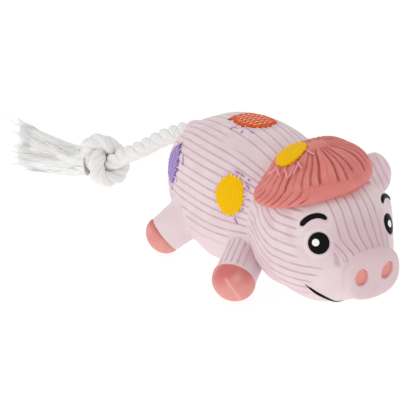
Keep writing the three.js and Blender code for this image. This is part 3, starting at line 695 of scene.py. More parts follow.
@dataclass(frozen=True)
class Cotton:
    """Undyed cotton: fine fibres along the strand, darker between the yarns as painted shade."""

    name: str
    colour: Place
    shadow: Place
    depth: float = 0.1

    def material(self) -> Finish:
        """The finish: attribute along is mm along a strand, around turns round it, valley 0 to 1."""
        g = Graph(self.name)
        strand = g.node("ShaderNodeCombineXYZ")
        g.feed(strand.inputs["X"], g.sum("MULTIPLY", g.attribute("along"), 0.12))
        g.feed(strand.inputs["Y"], g.sum("MULTIPLY", g.attribute("around"), 9.0))
        fibres = g.noise(strand.outputs["Vector"], 0.5, 4.0, 0.65)
        fluff = g.noise(g.coordinates(), 0.6, 4.0, 0.6)
        colour = g.mix(g.between(fibres, 0.3, 0.62), self.shadow, self.colour)
        colour = g.mix(g.attribute("valley"), colour, self.shadow)
        return g.finish(
            Base_Color=colour,
            Roughness=0.95,
            Normal=g.bump(fluff, 0.12, g.bump(fibres, 0.3)),
            Specular_IOR_Level=0.15,
            Subsurface_Weight=self.depth,
            Subsurface_Radius=(1.0, 1.0, 1.0),
            Subsurface_Scale=2.5 * METRES_PER_MM,
            Sheen_Weight=0.25,
            Sheen_Roughness=0.6,
        )


@dataclass(frozen=True)
class Plastic:
    """Plain moulded plastic with a fine grain and faint flow marks."""

    name: str
    colour: Place
    flow: Place
    roughness: float

    def material(self) -> Finish:
        """The finish."""
        g = Graph(self.name)
        place = g.coordinates()
        drift = g.noise(g.coordinates((1.0, 1.0, 0.3)), 5.0, 4.0)
        return g.finish(
            Base_Color=g.mix(g.between(drift, 0.4, 0.7), self.colour, self.flow),
            Roughness=g.sum("ADD", g.sum("MULTIPLY", drift, 0.15), self.roughness),
            Normal=g.bump(g.noise(place, 0.4, 2.0), 0.03),
        )


def finish_of(kind: type, name: str, *values: object) -> Finish:
    """One finish of a kind; its colours are given as red, green and blue of 0 to 255."""
    return kind(name, *[shade(*value) if isinstance(value, tuple) else value for value in values]).material()


class Finishes:
    """All the toy's finishes, made once."""

    def __init__(self) -> None:
        """Mixes each finish."""
        self.pink = finish_of(
            Latex, "pink_latex_skin", (231, 210, 214), (192, 158, 166), (240, 224, 227), (214, 178, 190)
        )
        self.snout = finish_of(
            Latex, "pale_snout_latex", (225, 199, 204), (222, 124, 116), (233, 211, 215), (220, 182, 190)
        )
        self.rose = finish_of(
            Latex, "rose_latex", (222, 126, 118), (152, 62, 60), (230, 146, 138), (210, 92, 88), 0.55
        )
        self.foot = finish_of(
            Latex, "rose_foot_latex", (223, 142, 136), (160, 80, 76), (238, 178, 168), (208, 104, 100)
        )
        self.pale_thread = finish_of(Paint, "pale_rose_stitch", (232, 160, 160), (222, 140, 140), 0.6)
        self.fringe = finish_of(Paint, "pale_fringe_thread", (240, 222, 230), (214, 176, 204), 0.6)
        self.yellow = finish_of(Knit, "yellow_knit", (252, 202, 0), (242, 186, 0), (253, 208, 10))
        self.orange = finish_of(Knit, "orange_knit", (232, 98, 28), (206, 76, 16), (250, 220, 204))
        self.purple = finish_of(Knit, "purple_knit", (172, 148, 206), (116, 90, 156), (200, 182, 228))
        self.thread = finish_of(Paint, "mauve_stitch", (186, 140, 176), (206, 170, 200), 0.6)
        self.black = finish_of(Paint, "black_enamel", (3, 2, 4), (9, 6, 9), 0.4, 0.1)
        self.white = finish_of(Paint, "white_enamel", (250, 250, 248), (240, 240, 236), 0.2)
        self.nostril = finish_of(Paint, "nostril_rose", (240, 160, 152), (224, 128, 120), 0.5)
        self.cotton = finish_of(Cotton, "rope_cotton_yarn", (250, 249, 247), (232, 231, 229))
        self.fibre = finish_of(Cotton, "loose_cotton_fibre", (251, 251, 250), (238, 237, 235), 0.0)
        self.wadding = finish_of(Cotton, "polyester_wadding", (244, 244, 242), (222, 222, 220))
        self.plastic = finish_of(Plastic, "squeaker_plastic_white", (240, 238, 230), (228, 226, 216), 0.35)
        self.reed = finish_of(Plastic, "reed_plastic_clear", (216, 212, 200), (204, 200, 186), 0.3)


# The pig's bodies


class Bodies:
    """The pig's main forms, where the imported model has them."""

    neck_reach: float = 7.0
    leg_reach: float = 3.6

    def __init__(self) -> None:
        """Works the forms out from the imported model's place along the ground."""
        low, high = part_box("body_stuffing")
        self.middle: float = (low[1] + high[1]) / 2 / METRES_PER_MM
        self.torso = Swell((0.0, self.middle, 36.2), (36.0, 52.5, 35.4), 2.3, 2.45)
        self.head_y: float = self.middle - 63.003
        self.torso_shift = np.array((0.0, self.middle, 0.0))
        self.head_shift = np.array((0.0, self.head_y, 0.0))
        self.skull = Swell((0.0, self.head_y, 35.0), (32.8, 34.0, 32.0), 2.4, 2.4)
        self.muzzle = Swell((0.0, self.head_y - 15.0, 29.5), (23.0, 25.0, 20.0), 2.5, 2.0)
        self.head = Blended(self.skull, self.muzzle, 7.0)
        collar = Swell((1.1, self.head_y - 29.4, 28.3), (14.2, 10.6, 11.6), 4.5, 2.5)
        self.face = Blended(self.head, collar, 3.0)
        self.snout = Swell((1.1, self.head_y - 35.1, 28.3), (15.8, 8.5, 12.7), 6.0, 2.5)
        self.legs: dict[str, Limb] = {}
        for side_name, side in SIDES:
            for end, root, foot, root_radius, foot_radius in (
                ("front", (23.6, -33.0, 20.0), (39.3, -43.7, 10.6), 10.4, 10.9),
                ("rear", (20.0, 12.6, 27.4), (40.2, 21.525, 10.9), 12.2, 10.3),
            ):
                self.legs[f"{end}_{side_name}"] = Limb(
                    (side * root[0], self.middle + root[1], root[2]),
                    (side * foot[0], self.middle + foot[1], foot[2]),
                    root_radius,
                    foot_radius,
                )

    def legs_apart(self, points: Array) -> Array:
        """The distance to the nearest leg."""
        return np.min([leg.apart(points) for leg in self.legs.values()], axis=0)


@dataclass
class Torso:
    """The torso's skin: corduroy ribs along the body, a smooth strip beside the back, bare belly."""

    bodies: Bodies
    patches: "list[Patch]"
    rows: int = 150
    columns: int = 640
    rib_depth: float = 0.6
    groove_width: float = 0.54
    lift_limits: tuple[float, float] = (-1.0, 3.6)
    # Fuller places of the photograph's toy, as middle, reach and height
    swellings: tuple[Press, ...] = (((-24.0, -4.0, 6.5), 13.0, 3.0), ((24.0, -4.0, 6.5), 13.0, 3.0))
    plug_hole: float = 8.2
    plug_hole_top: float = 4.2
    # The ribs' valleys, as degrees up from the pig's right side round over its back
    valleys: tuple[float, ...] = (
        -84, -76, -68, -60, -52, -44, -34.5, -25.5, -16.5, -10, -1.5, 5.5, 13, 20, 26.7, 34, 40, 46.2, 52.5,
        58.7, 65, 72.5, 82.5, 92.5, 102.5, 111, 118, 124.5, 131, 137.2, 143.5, 150, 156.5, 163, 169.5, 176,
        183, 190, 197, 205, 214, 223, 232, 240, 248, 256, 264, 270,
    )

    def ribs(self, points: Array) -> tuple[Array, Array]:
        """How deep the valleys are at each point, and how far the rib tops swell.

        The angle about the body's length is read against the list of valleys; the nearest
        one's distance makes a bell-shaped valley and a rounded top.

        Args:
            points: places on the plain torso.

        Returns:
            The valleys from 0 to 1 and the tops from 0 to 1.
        """
        x, y, z = np.moveaxis(points - np.array(self.bodies.torso.centre), -1, 0)
        wander = 0.5 * ripples(points, 46.0, 3)
        angle = np.degrees(np.arctan2(z, -x)) + wander
        angle = np.where(angle < -90.0, angle + 360.0, angle)
        valleys = np.array(self.valleys, dtype=float)
        phase = np.interp(angle, valleys, np.arange(valleys.size))
        gap = np.interp(angle, (valleys[1:] + valleys[:-1]) / 2, np.diff(valleys))
        pitch = np.radians(gap) * np.hypot(x, z)
        away = off_whole(phase) * pitch
        strength = self.strength(points, x, y, angle)
        valley = bell(away, self.groove_width) * strength
        top = np.clip(1 - (2 * away / np.maximum(pitch, 0.5)) ** 2, 0, 1) * strength
        return valley, top

    def strength(self, points: Array, x: Array, y: Array, angle: Array) -> Array:
        """Where the ribs show: not on the belly, at the legs, round the tail or on the strip."""
        level = np.where(angle > 90.0, 180.0 - angle, angle)
        shown = eased(-36.0, -20.0, level + 0.12 * (y - 5.0))
        strip = eased(56.0, 58.5, level + 0.28 * (y + 12.0)) * eased(70.5, 68.5, level) * eased(2.0, -8.0, y)
        shown = shown * (1 - strip * (x < 0))
        tail = np.linalg.norm(points - self.bodies.torso_shift - np.array((0.0, 51.0, 49.2)), axis=-1)
        shown = shown * eased(12.0, 24.0, tail)
        shown = shown * eased(0.3, 1.9, self.bodies.legs_apart(points))
        shown = shown * eased(0.3, 2.0, self.bodies.head.apart(points))
        return shown * (0.82 + 0.18 * ripples(points, 10.0, 8))

    def build(self, sheet: Sheet, finishes: Finishes) -> None:
        """Makes the torso's skin, with the squeaker's hole under its belly."""
        torso = self.bodies.torso
        plain = torso.skin(self.rows, self.columns)
        out = torso.outward(plain)
        valley, top = self.ribs(plain)
        lift = flare(self.bodies.head.apart(plain), self.bodies.neck_reach)
        lift = lift + flare(self.bodies.legs_apart(plain), self.bodies.leg_reach)
        lift = lift + 0.3 * top - self.rib_depth * valley + 0.12 * ripples(plain, 21.0, 11)
        lift = lift + swelling(plain - self.bodies.torso_shift, self.swellings)
        points = plain + np.clip(lift, *self.lift_limits)[..., None] * out
        away = np.hypot(plain[..., 0], plain[..., 1] - self.bodies.middle)
        under = (plain[..., 2] < 20.0) & (away < 12.0)
        near = under & (np.abs(away - self.plug_hole) < 0.55)
        snapped = np.where(near, self.plug_hole / np.maximum(away, TINY), 1.0)
        centre = self.bodies.torso_shift[:2]
        points[..., :2] = centre + (points[..., :2] - centre) * snapped[..., None]
        inside = under & (away * snapped < self.plug_hole - 0.5)
        points[..., 2] = np.where(inside, self.plug_hole_top, points[..., 2])
        tint = 0.12 * np.clip(ripples(plain, 15.0, 21), 0, 1)
        level = np.degrees(np.arctan2(plain[..., 2] - torso.centre[2], np.abs(plain[..., 0])))
        # Painted light: the underside grows paler, as light from the floor, and the rib tops carry a painted
        # highlight.
        pale = np.clip(0.5 * eased(-12.0, -34.0, level) + 0.3 * top, 0, 1)
        halo = 0.7 * np.max([patch.halo(plain) for patch in self.patches], axis=0)
        # The groove attribute paints shade into the rib valleys.
        part = capped_grid(points, {"groove": valley, "tint": tint, "pale": pale, "halo": halo})
        sheet.piece("torso_skin", [part], finishes.pink, "toy", ["body_shell"])


@dataclass
class Head:
    """The head's skin: ribs over the forehead and along the cheeks, smooth round the eyes."""

    bodies: Bodies
    rows: int = 160
    columns: int = 610
    rib_depth: float = 0.6
    groove_width: float = 0.5
    # Fuller and flatter places of the photograph's toy, as middle, reach and height
    swellings: tuple[Press, ...] = (
        ((25.0, -17.0, 52.0), 9.0, 1.8),
        ((-23.0, -3.0, 8.5), 12.0, -2.2),
        ((23.0, -3.0, 8.5), 12.0, -2.2),
    )
    eyes_out: tuple[float, float] = (-21.3, 19.3)
    eye_rise: float = 10.2
    forehead_valleys: tuple[float, ...] = (-20.5, -16.2, -11.8, -7.2, -2.4, 2.3, 6.9, 11.2, 15.6, 20.0)
    cheek_valleys: tuple[float, ...] = (
        12.0, 16.5, 20.8, 25.0, 29.2, 33.2, 37.2, 42.0, 46.7, 50.5, 54.2, 58.0, 62.0
    )
    # Where the cheek's ribs start, as heights and places behind the head's middle
    cheek_starts: tuple[tuple[float, ...], ...] = (
        (20, 25, 29.3, 33, 35.5, 37.2, 42, 47, 55),
        (-25, -27, -29.5, -31.5, -27, -20.5, -20.5, -19.5, -16.5),
    )
    # The right brow, from the photograph, as x, y from the head's middle and z
    brow: tuple[Place, ...] = (
        (-25.4, -18.6, 52.0),
        (-23.8, -19.3, 54.5),
        (-20.6, -20.5, 56.5),
        (-17.6, -22.6, 56.6),
        (-15.3, -25.0, 55.0),
    )
    # The right half of the mouth, from the photograph, as x and z
    mouth: tuple[tuple[float, float], ...] = (
        (-25.8, 23.0), (-21.9, 18.9), (-17.4, 15.4), (-12.6, 12.0), (-9.0, 9.6), (-4.5, 7.8), (0.0, 7.2)
    )
    short_valleys: tuple[tuple[Place, Place], ...] = (
        ((-15.0, -31.0, 44.0), (-12.4, -36.1, 37.0)),
        ((-18.4, -30.1, 37.7), (-14.8, -35.3, 34.9)),
        ((-20.4, -28.0, 38.6), (-19.0, -29.6, 37.0)),
        ((-22.8, -26.4, 39.2), (-21.6, -27.4, 38.0)),
    )

    def eye_place(self, side: float) -> Array:
        """The middle of an eye on the skull, on the side that the sign gives."""
        skull = self.bodies.skull
        start = np.array((self.eyes_out[side > 0], -30.0, skull.centre[2] + self.eye_rise))
        return skull.settle(self.bodies.head_shift + start, -AHEAD)

    def brow_path(self, side: float, count: int) -> Array:
        """The middle of a brow: a cubic through its places, on the skin."""
        aside = np.array((1.7 * (1.0 + side), 0.0, 0.0))
        places = np.array(self.brow) * np.array((-side, 1.0, 1.0)) + aside + self.bodies.head_shift
        steps = np.linspace(0.0, 1.0, len(places))
        fits = np.polyfit(steps, places, 3)
        path = np.stack([np.polyval(fits[:, i], np.linspace(0.0, 1.0, count)) for i in range(3)], axis=-1)
        out = self.bodies.face.outward(path)
        raised = swelling(path - self.bodies.head_shift, self.swellings[:1])
        return self.bodies.face.settle(path, -out, 5.0) + raised[:, None] * out

    def valley_from(self, value: Array, valleys: tuple[float, ...], width: float) -> tuple[Array, Array]:
        """The bell-shaped valley and the rounded top for a value against a list of valleys."""
        lines = np.array(valleys, dtype=float)
        phase = np.interp(value, lines, np.arange(lines.size))
        pitch = np.interp(value, (lines[1:] + lines[:-1]) / 2, np.diff(lines))
        away = off_whole(phase) * pitch
        return bell(away, width), np.clip(1 - (2 * away / pitch) ** 2, 0, 1)

    def short_valley(self, points: Array) -> Array:
        """The few short valleys below the eyes: a bell of the distance to each piece of line."""
        found = np.zeros(points.shape[:-1])
        for side in (-1.0, 1.0):
            for start, end in self.short_valleys:
                a, b = (np.array(p) * (-side, 1.0, 1.0) + self.bodies.head_shift for p in (start, end))
                share = np.clip((points - a) @ (b - a) / ((b - a) @ (b - a)), 0, 1)
                away = np.linalg.norm(points - a - share[..., None] * (b - a), axis=-1)
                found = np.maximum(found, bell(away, self.groove_width + 0.1))
        return found

    def eye_gap(self, points: Array) -> Array:
        """The distance from each point to the nearer eye's middle."""
        return np.min([np.linalg.norm(points - self.eye_place(side), axis=-1) for _, side in SIDES], axis=0)

    def ribs(self, points: Array) -> tuple[Array, Array]:
        """The valleys and tops of the two families of ribs.

        Over the forehead a valley keeps its distance from the middle plane and draws in
        towards the snout; along the cheek it keeps its height and rises towards the neck.

        Args:
            points: places on the plain head.

        Returns:
            The valleys from 0 to 1 and the tops from 0 to 1.
        """
        x, y, z = np.moveaxis(points, -1, 0)
        behind = y - self.bodies.head_y
        wander = 0.35 * ripples(points, 30.0, 5)
        near_snout = eased(48.0, 38.0, z)
        across = (x - 1.5 * near_snout) / (1 - 0.2 * near_snout) + wander
        rise = 4.6 * np.clip((behind + 5.0) / 13.0, 0, 1.4) ** 1.6
        height = z - rise + wander
        front_valley, front_top = self.valley_from(across, self.forehead_valleys, self.groove_width)
        side_valley, side_top = self.valley_from(height, self.cheek_valleys, self.groove_width)
        clear = eased(-39.9, -38.9, behind) * eased(6.2, 7.4, self.eye_gap(points))
        side = np.abs(x)
        beside = eased(-30.0, -34.0, behind)
        forehead = eased(-1.2, 1.2, z - 41.0 + 6.0 * beside) * clear * eased(-8.0, -14.0, behind)
        forehead = forehead * eased(15.6 + 2.0 * beside, 14.0 + 2.0 * beside, side)
        end = np.interp(height, *self.cheek_starts)
        cheek = eased(12.0, 20.0, z) * clear * eased(12.0, 14.0, side) * eased(-0.5, 2.5, behind - end)
        cheek = cheek * eased(0.8, 3.4, self.bodies.torso.apart(points))
        fade = 0.82 + 0.18 * ripples(points, 9.0, 9)
        valley = np.maximum(front_valley * forehead, side_valley * cheek) * fade
        valley = np.maximum(valley, self.short_valley(points))
        top = (front_top * forehead + side_top * cheek) * fade
        return np.clip(valley, 0, 1), np.clip(top, 0, 1)

    def build(self, sheet: Sheet, finishes: Finishes) -> None:
        """Makes the head's skin."""
        bodies = self.bodies
        start = bodies.head_shift + np.array((0.0, -9.0, 33.0))
        rays = unit(Swell((0, 0, 0), (32.8, 40.0, 31.0), 2.0, 2.0).rays(self.rows, self.columns))
        plain = bodies.face.settle(start + 36.0 * rays, -rays, 26.0)
        out = bodies.face.outward(plain)
        valley, top = self.ribs(plain)
        lift = flare(bodies.torso.apart(plain), bodies.neck_reach)
        lift = lift + 0.28 * top - self.rib_depth * valley + 0.1 * ripples(plain, 19.0, 12)
        rim = bell(self.eye_gap(plain) - 6.3, 0.8)
        brows = np.concatenate([self.brow_path(side, 24) for _, side in SIDES])
        brow_edge = np.full(plain.shape[:-1], 99.0)
        for place in brows:
            brow_edge = np.minimum(brow_edge, np.linalg.norm(plain - place, axis=-1))
        brow_rim = bell(brow_edge - 2.0, 0.6)
        lift = lift + swelling(plain - bodies.head_shift, self.swellings)
        points = plain + (lift + 0.3 * rim + 0.15 * brow_rim)[..., None] * out
        behind, height = plain[..., 1] - bodies.head_y, plain[..., 2]
        tint = 0.45 * np.clip(ripples(plain, 12.0, 23), 0, 1) * eased(30.0, 44.0, height)
        # Painted shade: the upper front of the head, towards the snout, is tinted darker; the rest of the
        # tint is a random blush.
        tint = np.maximum(tint, 0.55 * eased(-22.0, -33.0, behind) * eased(36.0, 44.0, height))
        # Painted highlight on the rib tops and painted light low down on the chin; the raised rims round the
        # eyes and brows are paler too.
        pale = np.clip(rim + brow_rim + 0.25 * top + 0.6 * eased(20.0, 8.0, height), 0, 1)
        # The groove attribute paints shade into the rib valleys.
        part = capped_grid(points, {"groove": valley, "tint": tint, "pale": pale})
        sheet.piece("head_skin", [part], finishes.pink, "toy", ["head_shell"])


@dataclass
class Snout:
    """The snout: a rounded square disc with two dished nostrils in its front."""

    bodies: Bodies
    rows: int = 130
    columns: int = 280
    nostril_half: tuple[float, float] = (3.2, 4.0)
    nostrils_out: tuple[float, float] = (-8.9, 5.9)
    nostril_rise: float = 1.8
    nostril_depth: float = 2.1
    taper: float = 0.1
    leans: tuple[float, float] = (0.0, 0.2)

    def build(self, sheet: Sheet, finishes: Finishes) -> None:
        """Makes the snout and the two nostril floors."""
        snout = self.bodies.snout
        plain = snout.skin(self.rows, self.columns)
        out = snout.outward(plain)
        x, y, z = np.moveaxis(plain - np.array(snout.centre), -1, 0)
        points = plain.copy()
        points[..., 1] += -0.8 * (1 - np.clip((x / 16.2) ** 2 + (z / 13.8) ** 2, 0, 1)) * (y < 0)
        hollow, edge = np.zeros(x.shape), np.zeros(x.shape)
        for place, lean in zip(self.nostrils_out, self.leans):
            across = x - place - lean * (z - self.nostril_rise)
            reach = np.hypot(across / self.nostril_half[0], (z - self.nostril_rise) / self.nostril_half[1])
            hollow = np.maximum(hollow, eased(1.12, 0.93, reach) * (y < 0))
            edge = np.maximum(edge, bell(reach - 1.28, 0.14) * (y < 0))
        points[..., 1] += self.nostril_depth * hollow - 0.15 * edge
        points = points + (0.08 * ripples(plain, 12.0, 31))[..., None] * out
        # The nostrils' hollow walls take the groove colour: salmon nostril paint darkened with painted shade;
        # the lip round each is paler and tinted.
        numbers = {"groove": eased(0.1, 0.5, hollow), "tint": 0.3 * edge, "pale": 0.2 * edge}
        narrowed = 1 - self.taper * eased(-0.7, 0.9, y / snout.half[1])[..., None]
        middle = np.array(snout.centre)[0::2]
        points[..., 0::2] = (points[..., 0::2] - middle) * narrowed + middle
        part = capped_grid(points, numbers)
        sheet.piece("snout_skin", [part], finishes.snout, "toy", ["snout"])
        for name, place, lean in zip(("right", "left"), self.nostrils_out, self.leans):
            share = np.linspace(1.0, 0.02, 14)[:, None]
            turn = round_turn(40)[None, :]
            pz = self.nostril_half[1] * share * np.sin(turn)
            px = place + lean * pz + self.nostril_half[0] * share * np.cos(turn)
            front = -snout.half[1] - 0.75 + self.nostril_depth - 0.5 * share**4 - 0.25 + 0.0 * turn
            dish = np.stack([px, front, pz + self.nostril_rise], axis=-1)
            under = dish[:1] + np.array((0.0, 1.0, 0.0))
            part = capped_grid(np.concatenate([under, dish]) + np.array(snout.centre))
            node = f"nostril_{name}"
            sheet.piece(f"nostril_dish_{name}", [part], finishes.nostril, "toy", [node])


# The cap and the ear


@dataclass
class Cap:
    """The cap: a pleated crown with its button off centre, and a rolled brim round it."""

    bodies: Bodies
    crown_rows: int = 110
    crown_columns: int = 600
    pleats: int = 36
    pleat_depth: float = 1.2
    seam: float = 5.5
    seam_rise: float = 2.2
    # The dent in the crown's left side, in the cap's own axes
    dent: tuple[Press, ...] = (((24.0, 10.0, 5.0), 9.0, -1.9),)
    crown: Swell = Swell((1.1, 4.5, 0.0), (26.8, 14.3, 26.8), 2.15, 2.0)
    brim: Swell = Swell((-2.5, 0.0, 0.5), (29.5, 6.0, 29.0), 2.5, 2.0)
    turn: Array = field(default_factory=lambda: Cap.frame())

    @staticmethod
    def frame() -> Array:
        """The cap's own axes as columns: across, up its middle, and forward."""
        roll, nod = math.radians(-9.0), math.radians(-12.0)
        upright = Matrix.Rotation(math.pi / 2, 3, "X")
        return np.array(Matrix.Rotation(roll, 3, "Y") @ Matrix.Rotation(nod, 3, "X") @ upright)

    def outside(self, points: Array) -> Array:
        """Moves points from the cap's own axes to the toy's."""
        return points @ self.turn.T + self.bodies.head_shift + np.array((0.0, 5.0, 61.0))

    def build(self, sheet: Sheet, finishes: Finishes) -> None:
        """Makes the crown and the brim."""
        crown, brim = self.crown, self.brim
        plain = crown.skin(self.crown_rows, self.crown_columns)
        out = crown.outward(plain)
        x, y, z = np.moveaxis(plain - np.array((3.1, 4.5, 3.3)), -1, 0)
        reach = np.hypot(x, z)
        angle = np.degrees(np.arctan2(z, -x))
        turn = angle + 2.5 * ripples(plain, 26.0, 41)
        spacing = 360.0 / self.pleats
        phase = (turn - 6.0) / spacing
        away = off_whole(phase) * np.radians(spacing) * reach
        number = np.round(phase)
        depth = 0.72 + 0.5 * np.sin(2.4 * number) * np.sin(0.7 * number + 1.0)
        shown = eased(3.5, 9.0, reach) * eased(-1.5, 0.8, y + 2.0 * np.sin(1.9 * number))
        valley = bell(away, 0.45 + 0.012 * reach) * shown * np.clip(depth, 0.2, 1.0)
        top = np.clip(1 - (2 * away / np.maximum(np.radians(spacing) * reach, 1.0)) ** 2, 0, 1) * shown
        button = bell(reach, 2.6) * (y > 0)
        lift = 0.45 * top - self.pleat_depth * valley + 0.7 * button - 0.5 * bell(reach - 4.6, 1.2) * (y > 0)
        lift = lift + 0.2 * ripples(plain, 14.0, 42)
        slope = bell(y / 14.3 - 0.45, 0.33) * eased(-0.3, 0.7, np.cos(np.radians(angle + 30.0)))
        lift = lift + swelling(plain, self.dent)
        lift = lift - 2.4 * slope + np.minimum(flare(brim.apart(plain), self.seam), self.seam_rise)
        tint = 0.3 * np.clip(ripples(plain, 11.0, 43), 0, 1)
        # The groove attribute paints shade into the pleats, and pale paints a highlight on the pleat tops.
        numbers = {"groove": valley, "tint": tint, "pale": 0.4 * top}
        part = capped_grid(self.outside(plain + lift[..., None] * out), numbers)
        sheet.piece("cap_crown_skin", [part], finishes.rose, "toy", ["cap_crown"])
        self.build_brim(sheet, finishes)

    def build_brim(self, sheet: Sheet, finishes: Finishes) -> None:
        """Makes the brim: a flat swelling ring, cut straight and rolled in underneath."""
        brim = self.brim
        plain = brim.skin(100, 480)
        out = brim.outward(plain)
        x, y, z = np.moveaxis(plain - np.array(brim.centre), -1, 0)
        turn = np.degrees(np.arctan2(z, -x))
        slant = turn - 3.2 * y + 2.0 * ripples(plain, 20.0, 44)
        phase = slant / 11.0
        away = off_whole(phase) * np.radians(11.0) * np.hypot(x, z)
        ribbed = eased(58.0, 44.0, turn) * eased(-70.0, -50.0, turn) + 0.6 * eased(100.0, 140.0, np.abs(turn))
        ribbed = ribbed * (0.75 + 0.25 * np.sin(2.1 * np.round(phase)))
        valley = bell(away, 0.6) * np.clip(ribbed, 0, 1) * eased(-0.8, 0.8, y)
        lift = -0.9 * valley + 0.3 * ripples(plain, 13.0, 45)
        lift = lift + np.minimum(flare(self.crown.apart(plain), self.seam), self.seam_rise)
        shaped = plain + lift[..., None] * out
        shaped[..., 1] = np.where(shaped[..., 1] < -1.0, -1.0 + 0.22 * (shaped[..., 1] + 1.0), shaped[..., 1])
        tint = 0.3 * np.clip(ripples(plain, 11.0, 46), 0, 1)
        # The groove attribute paints shade into the brim's ribs; pale lightens its lower half.
        numbers = {"groove": valley, "tint": tint, "pale": 0.35 * eased(4, 0, y)}
        part = capped_grid(self.outside(shaped), numbers)
        sheet.piece("cap_brim_roll", [part], finishes.rose, "toy", ["cap_brim"])


@dataclass
class Ear:
    """The left ear: a soft flap that hangs out from under the cap, dished and lightly ribbed."""

    bodies: Bodies
    tilt: float = math.radians(-28.0)
    rib_pitch: float = 3.4

    def build(self, sheet: Sheet, finishes: Finishes) -> None:
        """Makes the ear."""
        flap = Swell((0.0, 0.0, 0.0), (9.0, 3.5, 12.5), 2.4, 2.0)
        plain = flap.skin(90, 200)
        out = flap.outward(plain)
        x, y, z = np.moveaxis(plain, -1, 0)
        away = off_whole(x / self.rib_pitch) * self.rib_pitch
        valley = bell(away, 0.5) * eased(8.2, 6.0, np.abs(x)) * eased(12.0, 9.0, np.abs(z))
        valley = valley * (0.5 + 0.5 * eased(0.0, 1.0, np.abs(y)))
        lift = -0.35 * valley + 0.25 * ripples(plain, 9.0, 51)
        lift = lift - 1.1 * bell(np.hypot(x / 5.0, z / 8.0), 0.9) * (y < 0)
        shaped = plain + lift[..., None] * out
        turned = np.array(Matrix.Rotation(self.tilt, 3, "Y"))
        points = shaped @ turned.T + self.bodies.head_shift + np.array((37.5, 5.5, 55.0))
        faint = np.full(x.shape, 0.2)
        # The groove attribute paints shade into the ear's ribs.
        part = capped_grid(points, {"groove": 0.6 * valley, "tint": faint, "pale": faint})
        sheet.piece("left_ear_flap", [part], finishes.pink, "toy", ["left_ear"])


# The legs


